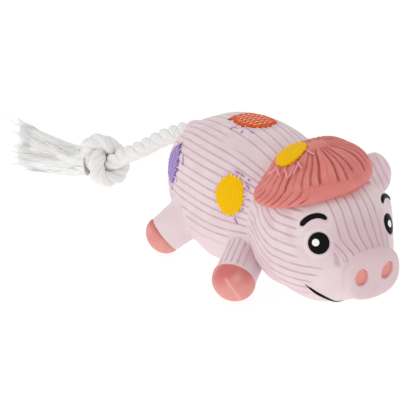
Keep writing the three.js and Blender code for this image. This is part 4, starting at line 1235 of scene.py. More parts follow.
@dataclass
class Leg:
    """One leg and its foot tip: a short ribbed bar and the rose dome that caps it."""

    bodies: Bodies
    name: str
    tip_cover: float
    foot_length: float = 9.5
    ribs_round: int = 19
    # A raised mould line down a front tip, lit with a painted highlight: the directions across and along it,
    # and to its side
    mould_highlight_ways: tuple[Place, ...] = (
        (0.8278, -0.2457, 0.5047),
        (0.2866, -0.5881, -0.7565),
        (-0.4825, -0.7706, 0.4163),
    )
    mould_highlight_drop: float = 2.57
    mould_highlight_width: float = 0.7
    columns: int = 200

    def __post_init__(self) -> None:
        """Reads from the name which leg this is."""
        self.front: bool = self.name.startswith("front")
        self.right: bool = self.name.endswith("right")
        self.node_end, self.node_side = self.name.split("_")

    def surface(self, along: Array, radius: Array) -> tuple[Array, Array]:
        """Points and outward directions round the leg's line, at lengths along it."""
        limb = self.bodies.legs[self.name]
        root, foot = np.array(limb.root), np.array(limb.foot)
        frame = upright_frame(foot - root, UP)
        ring = spokes(round_turn(self.columns), frame)
        points = root + along[:, None, None] * frame[:, 2] + radius[:, None, None] * ring[None]
        return points, np.broadcast_to(ring[None], points.shape)

    def build(self, sheet: Sheet, finishes: Finishes) -> None:
        """Makes the leg up to its tip, and the tip."""
        limb = self.bodies.legs[self.name]
        length = float(np.linalg.norm(np.array(limb.foot) - np.array(limb.root)))
        cut = length - self.tip_cover
        along = np.linspace(2.0, cut + 1.2, 60)
        radius = limb.root_radius + along / length * (limb.foot_radius - limb.root_radius)
        plain, out = self.surface(along, radius)
        turn = np.broadcast_to(round_turn(self.columns), plain.shape[:2])
        spacing = 2 * np.pi / self.ribs_round
        away = off_whole(turn / spacing) * spacing * limb.root_radius
        torso = self.bodies.torso.apart(plain)
        shown = eased(0.6, 2.4, torso) * eased(cut - 0.2, cut - 2.2, along)[:, None]
        outer = 1.0 if self.right else -1.0
        shown = shown * eased(-0.1, 0.5, np.cos(turn - 1.57 - outer * 0.8))
        shown = shown * (0.8 + 0.2 * ripples(plain, 9.0, 61)) * (1.0 if self.front else 0.2)
        marks = bell(along - cut + 3.2, 1.0)[:, None] * shown
        valley = bell(away, 0.55) * np.clip(shown + 0.5 * marks, 0, 1.3)
        lift = flare(torso, self.bodies.leg_reach) - 0.5 * valley + 0.15 * ripples(plain, 11.0, 62)
        lift = lift - 0.35 * eased(cut - 0.6, cut + 0.8, along)[:, None]
        points = plain + lift[..., None] * out
        points[..., 2] = np.maximum(points[..., 2], 0.0)
        height = points[..., 2]
        # Painted shade: tint darkens one side of the upper leg, where it lies in shade beside the cheek, most
        # on the front legs.
        tint = 0.6 * eased(-0.2, 0.7, np.cos(turn - 1.2 + outer * 1.2)) * eased(18.0, 24.0, height)
        # Painted shade in the rib valleys and their ends near the tip through groove, and painted light low
        # down through pale; the rear legs are paler all over.
        numbers = {
            "groove": np.clip(valley, 0, 1),
            "tint": tint * (1.0 if self.front else 0.3),
            "pale": 0.4 * eased(14.0, 4.0, height) + (0.0 if self.front else 0.5),
        }
        node = f"{self.node_end}_leg_{self.node_side}"
        part = capped_grid(points, numbers)
        sheet.piece(f"{node}_skin", [part], finishes.pink, "toy", [node])
        self.build_tip(sheet, finishes, cut, length)

    def build_tip(self, sheet: Sheet, finishes: Finishes, cut: float, length: float) -> None:
        """Makes the foot tip: a straight rim, then a dome, flat where it stands."""
        limb = self.bodies.legs[self.name]
        rim = np.linspace(cut + 0.15, length, 14)
        dome = np.linspace(0.0, np.pi / 2 * 0.985, 46)[1:]
        along = np.concatenate([rim, length + self.foot_length * np.sin(dome)])
        radius = np.concatenate([np.full(rim.size, limb.foot_radius), limb.foot_radius * np.cos(dome)])
        plain, out = self.surface(along, radius)
        edge = eased(cut + 1.4, cut + 0.1, along)[:, None]
        points = plain + (0.25 - 0.55 * edge**2 + 0.12 * ripples(plain, 10.0, 65))[..., None] * out
        points[..., 2] = np.maximum(points[..., 2], 0.0)
        blush = 0.8 * eased(10.0, 18.5, points[..., 2]) * eased(-0.4, 0.6, 0.3 + ripples(plain, 12.0, 66))
        place = (points - np.array(limb.foot)) * np.array((1.0 if self.right else -1.0, 1.0, 1.0))
        across, along, beside = (place @ np.array(way) for way in self.mould_highlight_ways)
        mould_highlight = float(self.front) * bell(across + self.mould_highlight_drop, self.mould_highlight_width)
        mould_highlight = mould_highlight * eased(-5.0, -2.5, along) * eased(0.0, 3.0, beside)
        points = points + 0.15 * mould_highlight[..., None] * out
        # Painted highlight along the mould line, and painted light that makes the tip paler low down.
        pale = np.clip(0.5 * eased(14.0, 2.0, points[..., 2]) + 0.8 * mould_highlight, 0, 1)
        # The groove attribute paints shade where the tip's rim tucks into the leg.
        groove = np.broadcast_to(0.25 * edge, blush.shape)
        part = capped_grid(points, {"groove": groove, "tint": blush * (1 - mould_highlight), "pale": pale})
        node = f"{self.node_end}_foot_{self.node_side}"
        sheet.piece(f"{node}_tip", [part], finishes.foot, "toy", [node])


# The face


@dataclass
class Face:
    """The painted eyes, brows and mouth, each a little proud of the skin."""

    head: Head
    # Half the width and half the height of each eye and of its glint
    right_eye: tuple[float, float] = (5.1, 5.3)
    left_eye: tuple[float, float] = (4.7, 5.3)
    glint: tuple[float, float] = (1.8, 1.8)

    def dome(self, centre: Array, half: tuple[float, float], rise: float, foot: float) -> Part:
        """A low oval dome on the head.

        A point at a share of the way out lies on the skin, plus foot and rise times the
        root of 1 less the 2.6th power of the share.

        Args:
            centre: a place on the skin.
            half: half its width and half its height.
            rise: how high it swells.
            foot: how high its edge stands.

        Returns:
            The dome as one part.
        """
        skin = self.head.bodies.face
        out = skin.outward(centre)
        frame = upright_frame(out, UP)
        share = np.linspace(1.0, 0.01, 22)[:, None]
        turn = round_turn(72)[None, :]
        flat = half[0] * share[..., None] * np.cos(turn)[..., None] * frame[:, 0]
        flat = flat + half[1] * share[..., None] * np.sin(turn)[..., None] * frame[:, 1]
        on_skin = skin.settle(centre + flat, -out)
        height = foot + rise * np.sqrt(np.clip(1 - share**2.6, 0, 1)) + 0.0 * turn
        top = on_skin + height[..., None] * out
        under = on_skin[:1] - 0.5 * out
        return capped_grid(np.concatenate([under, top]))

    def stroke(self, path: Array, widths: Array, rise: float) -> Part:
        """A painted stroke: a flattened tube along a path on the skin."""
        out = self.head.bodies.face.outward(path)
        return capped_grid(tube_about(path + 0.15 * out, widths / 2, 16, rise / float(widths.max()) * 2, out))

    def build(self, sheet: Sheet, finishes: Finishes) -> None:
        """Makes the eyes with their glints, the brows and the mouth."""
        skin = self.head.bodies.face
        made: list[tuple[str, str, Part, Finish, str]] = []
        for name, side in SIDES:
            eye = skin.settle(self.head.eye_place(side), -AHEAD, 4.0)
            half = self.right_eye if side < 0 else self.left_eye
            dome = self.dome(eye, half, 1.0, 0.35)
            made.append((f"eye_{name}", "dome", dome, finishes.black, "black_paint"))
            out = skin.outward(eye)
            frame = upright_frame(out, UP)
            glint = skin.settle(eye - 1.3 * frame[:, 0] + 0.5 * frame[:, 1], -out, 4.0)
            dot = self.dome(glint, self.glint, 0.2, 1.28)
            made.append((f"eye_glint_{name}", "dot", dot, finishes.white, "white_paint"))
            share = np.linspace(-1, 1, 60)
            widths = (2.75 - 0.3 * share) * np.clip(1 - np.abs(share) ** 7, 0.02, 1) ** 0.5
            arc = self.stroke(self.head.brow_path(side, 60), widths, 0.9)
            made.append((f"brow_{name}", "arc", arc, finishes.black, "black_paint"))
        half = np.array(self.head.mouth)
        line = np.concatenate([half, half[-2::-1] * np.array((-1.0, 1.0))])
        knots = np.stack([line[:, 0], np.zeros(len(line)), line[:, 1]], axis=-1)
        flat = RopeLine.trace(knots)[::4]
        flat[:, 1] = self.head.bodies.head_y - 24.0
        path = skin.settle(flat, -AHEAD, 22.0)
        share = np.linspace(-1, 1, len(path))
        widths = 1.25 + 1.1 * bell(np.abs(share) - 0.76, 0.22)
        widths = widths * np.clip(1 - np.abs(share) ** 12, 0.03, 1)
        made.append(("mouth_line", "paint", self.stroke(path, widths, 0.5), finishes.black, "black_paint"))
        for node, kind, part, finish, slot in made:
            sheet.piece(f"{node}_{kind}", [part], finish, "toy", [node])


# The patches


@dataclass
class Patch:
    """A raised knit patch with a torn edge, and the stitches sewn round it."""

    name: str
    node: str
    form: Form
    centre: Place
    upright: Array
    half: tuple[float, float]
    pile: Pile
    seed: int
    thickness: float = 0.75
    spikes: float = 0.07
    strokes: tuple[tuple[Place, ...], ...] = ()
    fringe: int = 0
    origin: Place = (0.0, 0.0, 0.0)
    outside: Callable[[Array], Array] = lambda points: points

    def edge(self, turn: Array) -> Array:
        """The torn outline: 1 plus small seeded waves and a few sharp tufts."""
        draw = np.random.default_rng(self.seed)
        wave = np.zeros(turn.shape)
        for count in (3, 5, 9, 14, 23):
            wave = wave + draw.uniform(-1, 1) * np.sin(count * turn + draw.uniform(0, 6.3)) / count**0.6
        tufts = np.zeros(turn.shape)
        for at, reach in zip(draw.uniform(0, 2 * np.pi, 22), draw.uniform(0.3, 1.0, 22)):
            gap = np.abs((turn - at + np.pi) % (2 * np.pi) - np.pi)
            tufts = tufts + reach * np.clip(1 - gap / 0.075, 0, 1)
        return 1 + self.spikes * (0.5 * wave + 2.0 * tufts)

    def relief(self, across: Array, along: Array) -> tuple[Array, Array]:
        """The knit's height from 0 to 1 at places on the patch, and where its crests carry a painted
        highlight.
        """
        first, second = self.pile.value
        if self.pile is Pile.UPRIGHT:
            rib = 0.5 + 0.5 * np.cos(2 * np.pi * (across + 0.25 * np.sin(along / 2.3)) / first)
            tooth = 0.5 + 0.5 * np.cos(2 * np.pi * along / second + 2.5 * np.sin(across * 1.7))
            return rib * (0.6 + 0.4 * tooth), 0.6 * tooth
        if self.pile is Pile.ARCHED:
            arch = np.abs(np.sin(np.pi * across / first))
            row = (along + 1.5 * arch) / second
            middle = np.hypot(across / self.half[0], along / self.half[1])
            return 1 - 2 * off_whole(row), (0.3 + 0.7 * arch) * eased(0.88, 0.76, middle)
        bumps = np.sin(2 * np.pi * across / first) * np.sin(2 * np.pi * along / second)
        uneven = ripples(np.stack([across, along, 0 * along], axis=-1), 1.7, self.seed + 1)
        return np.clip(0.5 + 0.35 * bumps + 0.4 * uneven, 0, 1), np.full(across.shape, 0.5)

    def middle(self) -> tuple[Array, Array]:
        """The patch's middle, and its axes as columns: across, along and straight out."""
        centre = np.array(self.centre) + np.array(self.origin)
        return centre, upright_frame(self.form.outward(centre), self.upright)

    def build(self, sheet: Sheet, material: Finish, slot: str, thread: Finish, fringe_thread: Finish) -> None:
        """Makes the patch, its stitches and its fringe."""
        centre, frame = self.middle()
        rings, columns = 56, 240
        share = np.linspace(1.0, 0.01, rings)[:, None]
        turn = round_turn(columns)[None, :]
        reach = share * (1 + (self.edge(turn) - 1) * share**3)
        across = self.half[0] * reach * np.cos(turn)
        along = self.half[1] * reach * np.sin(turn)
        flat = across[..., None] * frame[:, 0] + along[..., None] * frame[:, 1]
        on_skin = self.form.settle(centre + flat, -frame[:, 2], 12.0)
        relief, crest = self.relief(across, along)
        body = np.sqrt(np.clip(1 - share**14, 0, 1))
        height = 0.15 + self.thickness * (0.35 + 0.65 * body) - 0.38 * (1 - relief) * body
        way = self.form.outward(on_skin)
        top = on_skin + height[..., None] * way
        under = on_skin[:1] - 0.8 * way[:1]
        numbers = {
            "relief": np.concatenate([np.zeros((1, columns)), relief * eased(1.0, 0.93, share)]),
            "crest": np.concatenate([np.zeros((1, columns)), crest]),
        }
        points = self.outside(np.concatenate([under, top]))
        sheet.piece(self.name, [capped_grid(points, numbers)], material, "toy", [self.node])
        if self.strokes:
            self.sew(sheet, thread)
        if self.fringe:
            self.fray(sheet, fringe_thread)

    def sew(self, sheet: Sheet, thread: Finish) -> None:
        """Makes the stitches round the patch: short thin tubes that lie in the skin."""
        parts = []
        for stroke in self.strokes:
            knots = np.array(stroke) + np.array(self.origin)
            steps = np.linspace(0, len(stroke) - 1, 15)
            path = smoothed(read_path(knots, np.arange(len(stroke)), steps), 3)
            out = self.form.outward(path)
            path = self.form.settle(path, -out, 4.0) + 0.12 * out
            share = np.linspace(-1, 1, 15)
            rows = tube_about(path, 0.52 * np.sqrt(np.clip(1 - share**4, 0.02, 1)), 8, 0.75, out)
            parts.append(capped_grid(self.outside(rows)))
        sheet.piece(f"{self.name}_stitches", parts, thread, "toy")

    def fray(self, sheet: Sheet, thread: Finish) -> None:
        """Makes the loose pale threads that stand out from the patch's edge, each a short thin tube."""
        centre, frame = self.middle()
        draw = np.random.default_rng(self.seed + 40)
        parts = []
        shift = draw.uniform(-0.35, 0.35, self.fringe)
        for turn in (np.arange(self.fringe) + shift) * 2 * np.pi / self.fringe:
            reach = np.linspace(0.94, draw.uniform(1.12, 1.34), 9)
            bent = turn + draw.uniform(-0.25, 0.25) * (reach - 0.94)
            across = self.half[0] * reach * np.cos(bent)
            along = self.half[1] * reach * np.sin(bent)
            flat = centre + across[:, None] * frame[:, 0] + along[:, None] * frame[:, 1]
            path = self.form.settle(flat, -frame[:, 2], 6.0)
            way = self.form.outward(path)
            rows = tube_about(path + 0.25 * way, np.linspace(0.42, 0.2, 9), 8, 0.8, way)
            parts.append(capped_grid(self.outside(rows)))
        sheet.piece(f"{self.name}_fringe", parts, thread, "toy")

    def halo(self, points: Array) -> Array:
        """A faint stain round the patch's edge: a bell of the distance from it, over the skin."""
        centre, frame = self.middle()
        across, along, deep = np.moveaxis((points - centre) @ frame, -1, 0)
        reach = np.hypot(across / self.half[0], along / self.half[1])
        return bell(9.0 * (reach - 1.06), 1.7) * (np.abs(deep) < 8.0)


# The rope


class RopeLine:
    """The middle line of the free rope, through the part's own points.

    Between two points it is the cubic that the four nearest ones give, with each step
    weighted by the root of its length.
    """

    route: tuple[Place, ...] = (
        (-1.6, 64.5, 46.6),
        (-5.5, 79.5, 38.5),
        (-11.0, 96.5, 27.0),
        (-16.0, 112.0, 18.0),
        (-19.0, 124.5, 13.0),
    )

    def __init__(self, bodies: Bodies) -> None:
        """Runs the line from the torso's skin, a little upwards, through the route to the knot."""
        pitch = math.radians(4.0)
        self.way = np.array((0.0, math.cos(pitch), math.sin(pitch)))
        shift = bodies.torso_shift
        self.exit = bodies.torso.settle(np.array((0.0, 50.0, 49.2)) + shift, AHEAD)
        self.bend = self.exit + 6.5 * self.way
        places = np.stack([self.exit, self.bend, *[np.array(place) + shift for place in self.route]])
        self.points = self.trace(places)
        self.lengths = run_along(self.points)
        self.total = float(self.lengths[-1])
        self.knot = self.points[-1]

    @staticmethod
    def trace(places: Array) -> Array:
        """Points close together, all along the line through some places."""
        ends = np.concatenate([2 * places[:1] - places[1:2], places, 2 * places[-1:] - places[-2:-1]])
        step = np.linalg.norm(np.diff(ends, axis=0), axis=1)[:, None] ** 0.5
        before, here, after = ends[:-3], ends[1:-2], ends[2:-1]
        beyond = ends[3:]
        d0, d1, d2 = step[:-2], step[1:-1], step[2:]
        leave = ((here - before) / d0 - (after - before) / (d0 + d1) + (after - here) / d1) * d1
        arrive = ((after - here) / d1 - (beyond - here) / (d1 + d2) + (beyond - after) / d2) * d1
        t = np.linspace(0, 1, 60, endpoint=False)[None, :, None]
        square = -3 * here + 3 * after - 2 * leave - arrive
        cube = 2 * here - 2 * after + leave + arrive
        spans = here[:, None] + leave[:, None] * t + square[:, None] * t**2 + cube[:, None] * t**3
        return np.concatenate([spans.reshape(-1, 3), places[-1:]])

    def at(self, lengths: Array) -> Array:
        """The points at lengths in mm along the line; before it starts, straight back inside."""
        inside = np.minimum(lengths, 0.0)[:, None] * self.way
        return read_path(self.points, self.lengths, np.clip(lengths, 0.0, self.total)) + inside


@dataclass(frozen=True)
class KnotLine:
    """The rope's middle line through its overhand knot.

    The line through the places is cut into even steps. In each round, two steps nearer
    than gap that are not neighbours along the line push each other apart, each step moves
    a little to the middle of its neighbours and a little to where it began, and one below
    floor rises. So the turns come to lie side by side.
    """

    shift: Place = (-1.25, 0.21, -1.06)
    # Lengths along the rope's own line that lead into the knot
    leads: tuple[float, ...] = (44.0, 48.0, 52.0, 56.0, 60.0)
    # The way through the knot, chosen from the photograph, in mm from the knot's
    # middle: to the camera, up and to the camera's left
    places: tuple[Place, ...] = (
        (5.6, 0.9, -7.4), (1.1, -1.2, -2.0), (-2.6, -1.5, 3.4), (-3.8, 1.2, 7.3),
        (-1.0, 5.6, 8.1), (3.3, 7.9, 5.4), (6.2, 9.7, 0.9), (6.2, 8.2, -4.0),
        (2.6, 6.5, -7.4), (-2.1, 2.6, -9.9), (-3.0, -1.8, -10.9), (0.2, -6.2, -9.4),
        (3.8, -9.4, -6.0), (5.8, -11.1, -1.5), (8.2, -10.0, 2.7), (9.8, -5.6, 3.9),
        (9.5, -0.3, 3.2), (5.4, 4.1, 1.9), (-1.5, 5.9, 1.7), (-8.1, 5.0, 3.4),
        (-12.0, 3.2, 6.4), (-10.2, 1.8, 10.3), (-8.0, 0.9, 17.6), (-6.3, 0.9, 23.5),
    )
    step: float = 1.2
    gap: float = 8.32
    neighbour_gaps: float = 1.7
    floor: float = 4.6
    rounds: int = 1500
    push_share: float = 0.25
    even_share: float = 0.16
    home_share: float = 0.01
    rise_share: float = 0.5
    first: int = 10
    last: int = 136

    def lay(self, rope: RopeLine, frame: Array) -> Array:
        """Lays the line through the knot.

        Args:
            rope: the rope's own line, at whose end the knot is.
            frame: the directions to the camera, up and to its left, as columns.

        Returns:
            The line's points, from just past where the rope's own line is left.
        """
        centre = rope.knot + np.array(self.shift)
        leads = (rope.at(np.array(self.leads)) - centre) @ frame
        line = RopeLine.trace(np.concatenate([leads, np.array(self.places)]))
        marks = run_along(line)
        count = round(float(marks[-1]) / self.step) + 1
        home = read_path(line, marks, np.linspace(0.0, marks[-1], count))
        laid = home.copy()
        order = np.arange(count)
        beyond = np.abs(order[:, None] - order) >= math.ceil(self.neighbour_gaps * self.gap / self.step)
        for _ in range(self.rounds):
            between = laid[:, None] - laid
            length = np.linalg.norm(between, axis=2) + TINY
            close = np.where(beyond & (length < self.gap), self.gap - length, 0.0)
            crowd = np.sqrt(np.maximum((close > 0).sum(axis=1), 1))
            push = (between * (close / length)[..., None]).sum(axis=1) / crowd[:, None]
            laid[1:-1] += self.push_share * push[1:-1]
            laid[1:-1] += self.even_share * ((laid[:-2] + laid[2:]) / 2 - laid[1:-1])
            laid[1:-1] += self.home_share * (home - laid)[1:-1]
            low = np.clip(self.floor - centre[2] - laid @ frame[2], 0.0, None)
            laid += self.rise_share * low[:, None] * frame[2]
            laid[[0, -1]] = home[[0, -1]]
        return centre + RopeLine.trace(laid[self.first:self.last]) @ frame.T


@dataclass
class Rope:
    """The tail: three twisted strands, an overhand knot and a frayed end."""

    bodies: Bodies
    strand_radius: float = 2.6
    strand_reach: float = 2.5
    lay: float = 24.6
    join: float = 16.5
    knot_run: float = 14.5
    knot_start: float = 54.5
    tassel_length: float = 39.5
    buried: float = 9.0
    sample: float = 0.45
    # The collar's profile: distances from the rope's middle line, and heights out of the rump
    collar_radii: tuple[float, ...] = (5.3, 5.3, 5.5, 6.0, 6.6, 7.0, 7.5, 8.2, 8.9, 9.5, 9.5)
    collar_heights: tuple[float, ...] = (-4.0, 4.4, 5.2, 5.4, 5.0, 4.0, 2.0, 0.0, -1.6, -3.4, -5.5)

    def prepare(self) -> None:
        """Works out the rope's whole middle line, from the rump through the knot, and its frames."""
        line = self.line = RopeLine(self.bodies)
        droop, turned = math.radians(2.5), math.radians(40.0)
        level = math.cos(droop)
        self.way = np.array((-math.sin(turned) * level, math.cos(turned) * level, -math.sin(droop)))
        knot = KnotLine().lay(line, np.stack(Studio().sight(), axis=1))
        self.knot_exit = knot[-1]
        lead = line.at(np.linspace(-self.buried, self.knot_start, 200))
        path = np.concatenate([lead[:-1], knot])
        marks = run_along(path) - self.buried
        self.lengths = np.arange(-self.buried, marks[-1], self.sample)
        self.path = smoothed(read_path(path, marks, self.lengths), 6)
        self.along = unit(np.gradient(self.path, axis=0))
        across = unit(np.cross(UP, self.along[0]))
        carried = []
        for way in self.along:
            across = unit(across - way * (across @ way))
            carried.append(across)
        self.across = np.stack(carried)

    def strands(self, start: float, end: float, softened: float = 0.0) -> list[Part]:
        """The three strands from one length along the line to another.

        A strand's middle turns about the line at its reach, once in each lay, and its
        surface swells and dips with its yarns.

        Args:
            start: where it starts, in mm.
            end: where it ends, in mm.
            softened: how far the strands sink into each other, from 0 to 1.

        Returns:
            One part for each strand.
        """
        chosen = (self.lengths >= start - 0.3) & (self.lengths <= end + 0.3)
        lengths, path = self.lengths[chosen], self.path[chosen]
        across, along = self.across[chosen], self.along[chosen]
        over = np.cross(along, across)
        angle = round_turn(32)[None, :]
        parts = []
        for strand in range(3):
            turn = 2 * np.pi * (lengths / self.lay + strand / 3)
            spoke = np.cos(turn)[:, None] * across + np.sin(turn)[:, None] * over
            middle = path + (1 - 0.22 * softened) * self.strand_reach * spoke
            yarns = 0.5 + 0.5 * np.cos(6 * (angle - 0.3 * lengths[:, None]))
            fuzz = ripples(middle, 2.4, 71 + strand)[:, None]
            radius = self.strand_radius * (1 + 0.1 * softened + 0.04 * (yarns - 0.5)) + 0.05 * fuzz
            way = unit(np.gradient(middle, axis=0))
            side = unit(spoke - way * np.sum(spoke * way, axis=-1, keepdims=True))
            top = np.cross(way, side)
            ring = np.cos(angle)[..., None] * side[:, None] + np.sin(angle)[..., None] * top[:, None]
            rows = middle[:, None] + radius[..., None] * ring
            rows[..., 2] = np.maximum(rows[..., 2], 0.2)
            reach = np.linalg.norm(rows - path[:, None], axis=-1)
            # The valley attribute paints shade between the strands and between the yarns.
            numbers = {
                "along": np.broadcast_to(lengths[:, None], radius.shape),
                "around": np.broadcast_to(angle / (2 * np.pi) - 0.05 * lengths[:, None], radius.shape),
                "valley": (0.7 - 0.4 * softened) * eased(4.0, 2.9, reach) + 0.12 * (1 - yarns),
            }
            parts.append(capped_grid(rows, numbers))
        return parts

    def build(self, sheet: Sheet, finishes: Finishes) -> None:
        self.prepare()
        line = self.line
        entry = line.total - self.knot_run
        yarn, slot = finishes.cotton, "rope_cotton"
        inner = self.strands(-8.7, self.join)
        heel = sheet.piece("rope_heel", inner, yarn, None, ["rope_anchor", "rope_root"])
        outer = self.strands(self.join, entry + 6.5)
        free = sheet.piece("rope_tail_strands", outer, yarn, None, ["rope_tail"])
        turns = self.strands(entry + 5.0, float(self.lengths[-1]), 1.0)
        knot = sheet.piece("overhand_knot", turns, yarn, "tail", ["rope_knot"])
        tassel = self.build_tassel(sheet, finishes)
        self.build_collar(sheet, finishes)
        start, end = line.bend - 2.5 * line.way, line.bend + 5.0 * line.way
        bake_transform(heel)
        start, end = line.at(np.array([20.0, 33.0]))
        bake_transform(free)

    def build_collar(self, sheet: Sheet, finishes: Finishes) -> None:
        """Makes the moulded cone round the rope where it leaves the rump, with a rounded lip."""
        line = self.line
        frame = upright_frame(line.way, UP)
        corners = np.arange(len(self.collar_radii))
        steps = np.linspace(0, corners[-1], 56)
        radius = np.interp(steps, corners, self.collar_radii)
        out = np.interp(steps, corners, self.collar_heights)
        ring = spokes(round_turn(72), frame)
        rows = line.exit + out[:, None, None] * line.way + radius[:, None, None] * ring[None]
        flat = np.zeros(rows.shape[:2])
        numbers = {"groove": flat, "tint": flat + 0.25, "pale": flat}
        part = (rows, grid_faces(rows.shape[0], rows.shape[1], True, True)[:, ::-1], numbers)
        sheet.piece("tail_collar_ring", [part], finishes.pink, "toy", ["tail_collar"])

    def bundle(
        self, offset: tuple[float, float], radii: Sequence[float], count: int, seed: int
    ) -> list[Part]:
        """One lock of loose fibres: a soft folded core with fine fibres on it, some longer.

        The lock's middle leaves the knot along the tassel's way and bends aside with the
        1.6th power of its length; the core's radius waves round it in folds.

        Args:
            offset: how far its end lies across and above the way, in mm.
            radii: its radius at even steps.
            count: how many fibres.
            seed: which fibres.

        Returns:
            The core and the fibres.
        """
        frame = upright_frame(self.way, UP)
        draw = np.random.default_rng(seed)
        shift = offset[0] * frame[:, 0] + offset[1] * frame[:, 1]
        root = self.knot_exit - 9.5 * self.way

        def middle(share: Array) -> Array:
            """The lock's middle at shares of its length."""
            bent = np.clip(share, 0.0, 1.3)[:, None] ** 1.6
            return root + self.tassel_length * share[:, None] * self.way + bent * shift

        def thick(share: Array) -> Array:
            """The lock's radius at shares of its length."""
            return np.interp(share, np.linspace(0, 1, len(radii)), radii)

        share = np.linspace(0, 1, 48)
        angle = round_turn(80)[None, :]
        start = draw.uniform(0, 6.3, 3)
        folds = 0.07 * np.cos(4 * angle + start[0] + 2.4 * share[:, None])
        folds = folds + 0.035 * np.cos(9 * angle + start[1] - 3 * share[:, None])
        folds = folds + 0.02 * np.cos(21 * angle + start[2] + 5 * share[:, None])
        radius = 0.96 * thick(share)[:, None] * (1 + folds)
        rows = middle(share)[:, None] + radius[..., None] * spokes(angle, frame)
        rows[..., 2] = np.maximum(rows[..., 2], 0.5)
        # The valley attribute paints shade into the core's folds.
        numbers = {
            "along": np.broadcast_to(self.tassel_length * share[:, None], radius.shape),
            "around": np.broadcast_to(2.5 * angle / (2 * np.pi), radius.shape),
            "valley": np.clip(-2.0 * folds, 0, 0.3),
        }
        parts = [capped_grid(rows, numbers)]
        for _ in range(count):
            at = draw.uniform(0, 2 * np.pi)
            longest = draw.uniform(0.86, 1.08) + 0.16 * draw.uniform() ** 3
            steps = np.linspace(draw.uniform(0.0, 0.5), longest, 10)
            swing = at + 0.12 * np.sin(steps * draw.uniform(4, 9) + draw.uniform(0, 6.3))
            wave = 1.0 + 0.03 * np.sin(steps * draw.uniform(9, 18) + draw.uniform(0, 6.3))
            out = thick(np.minimum(steps, 1.0)) * wave * draw.uniform(0.93, 0.99)
            out = out * (1 + draw.uniform(-0.3, 0.9) * np.clip(steps - 0.8, 0, 1) * 4)
            path = middle(steps) + out[:, None] * spokes(swing, frame)
            path[:, 2] = np.maximum(path[:, 2], 0.6)
            taper = np.interp(steps / longest, [0, 0.1, 0.8, 1.0], [0.3, 1.0, 0.9, 0.25])
            tube = tube_about(path, draw.uniform(0.16, 0.34) * taper, 5)
            flat = np.zeros(tube.shape[:2])
            numbers = {
                "along": flat + (steps * self.tassel_length)[:, None],
                "around": flat + draw.uniform(0, 9),
                "valley": flat + draw.uniform(0, 0.1),
            }
            parts.append(capped_grid(tube, numbers))
        return parts

    def build_tassel(self, sheet: Sheet, finishes: Finishes) -> bpy.types.Object:
        """Makes the frayed end: a rising lock, a lying one and one behind them."""
        parts = self.bundle((2.0, 17.0), (8.2, 8.2, 7.8, 7.4, 6.6, 4.6), 150, 77)
        parts += self.bundle((-5.0, -1.5), (8.0, 8.4, 8.8, 9.0, 8.6, 6.0), 160, 78)
        parts += self.bundle((8.0, 5.5), (6.4, 7.0, 7.6, 8.0, 7.2, 4.8), 120, 79)
        tassel = sheet.piece("frayed_tassel", parts, finishes.fibre, None, ["rope_tassel"])
        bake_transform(tassel)
        return tassel


# What is inside


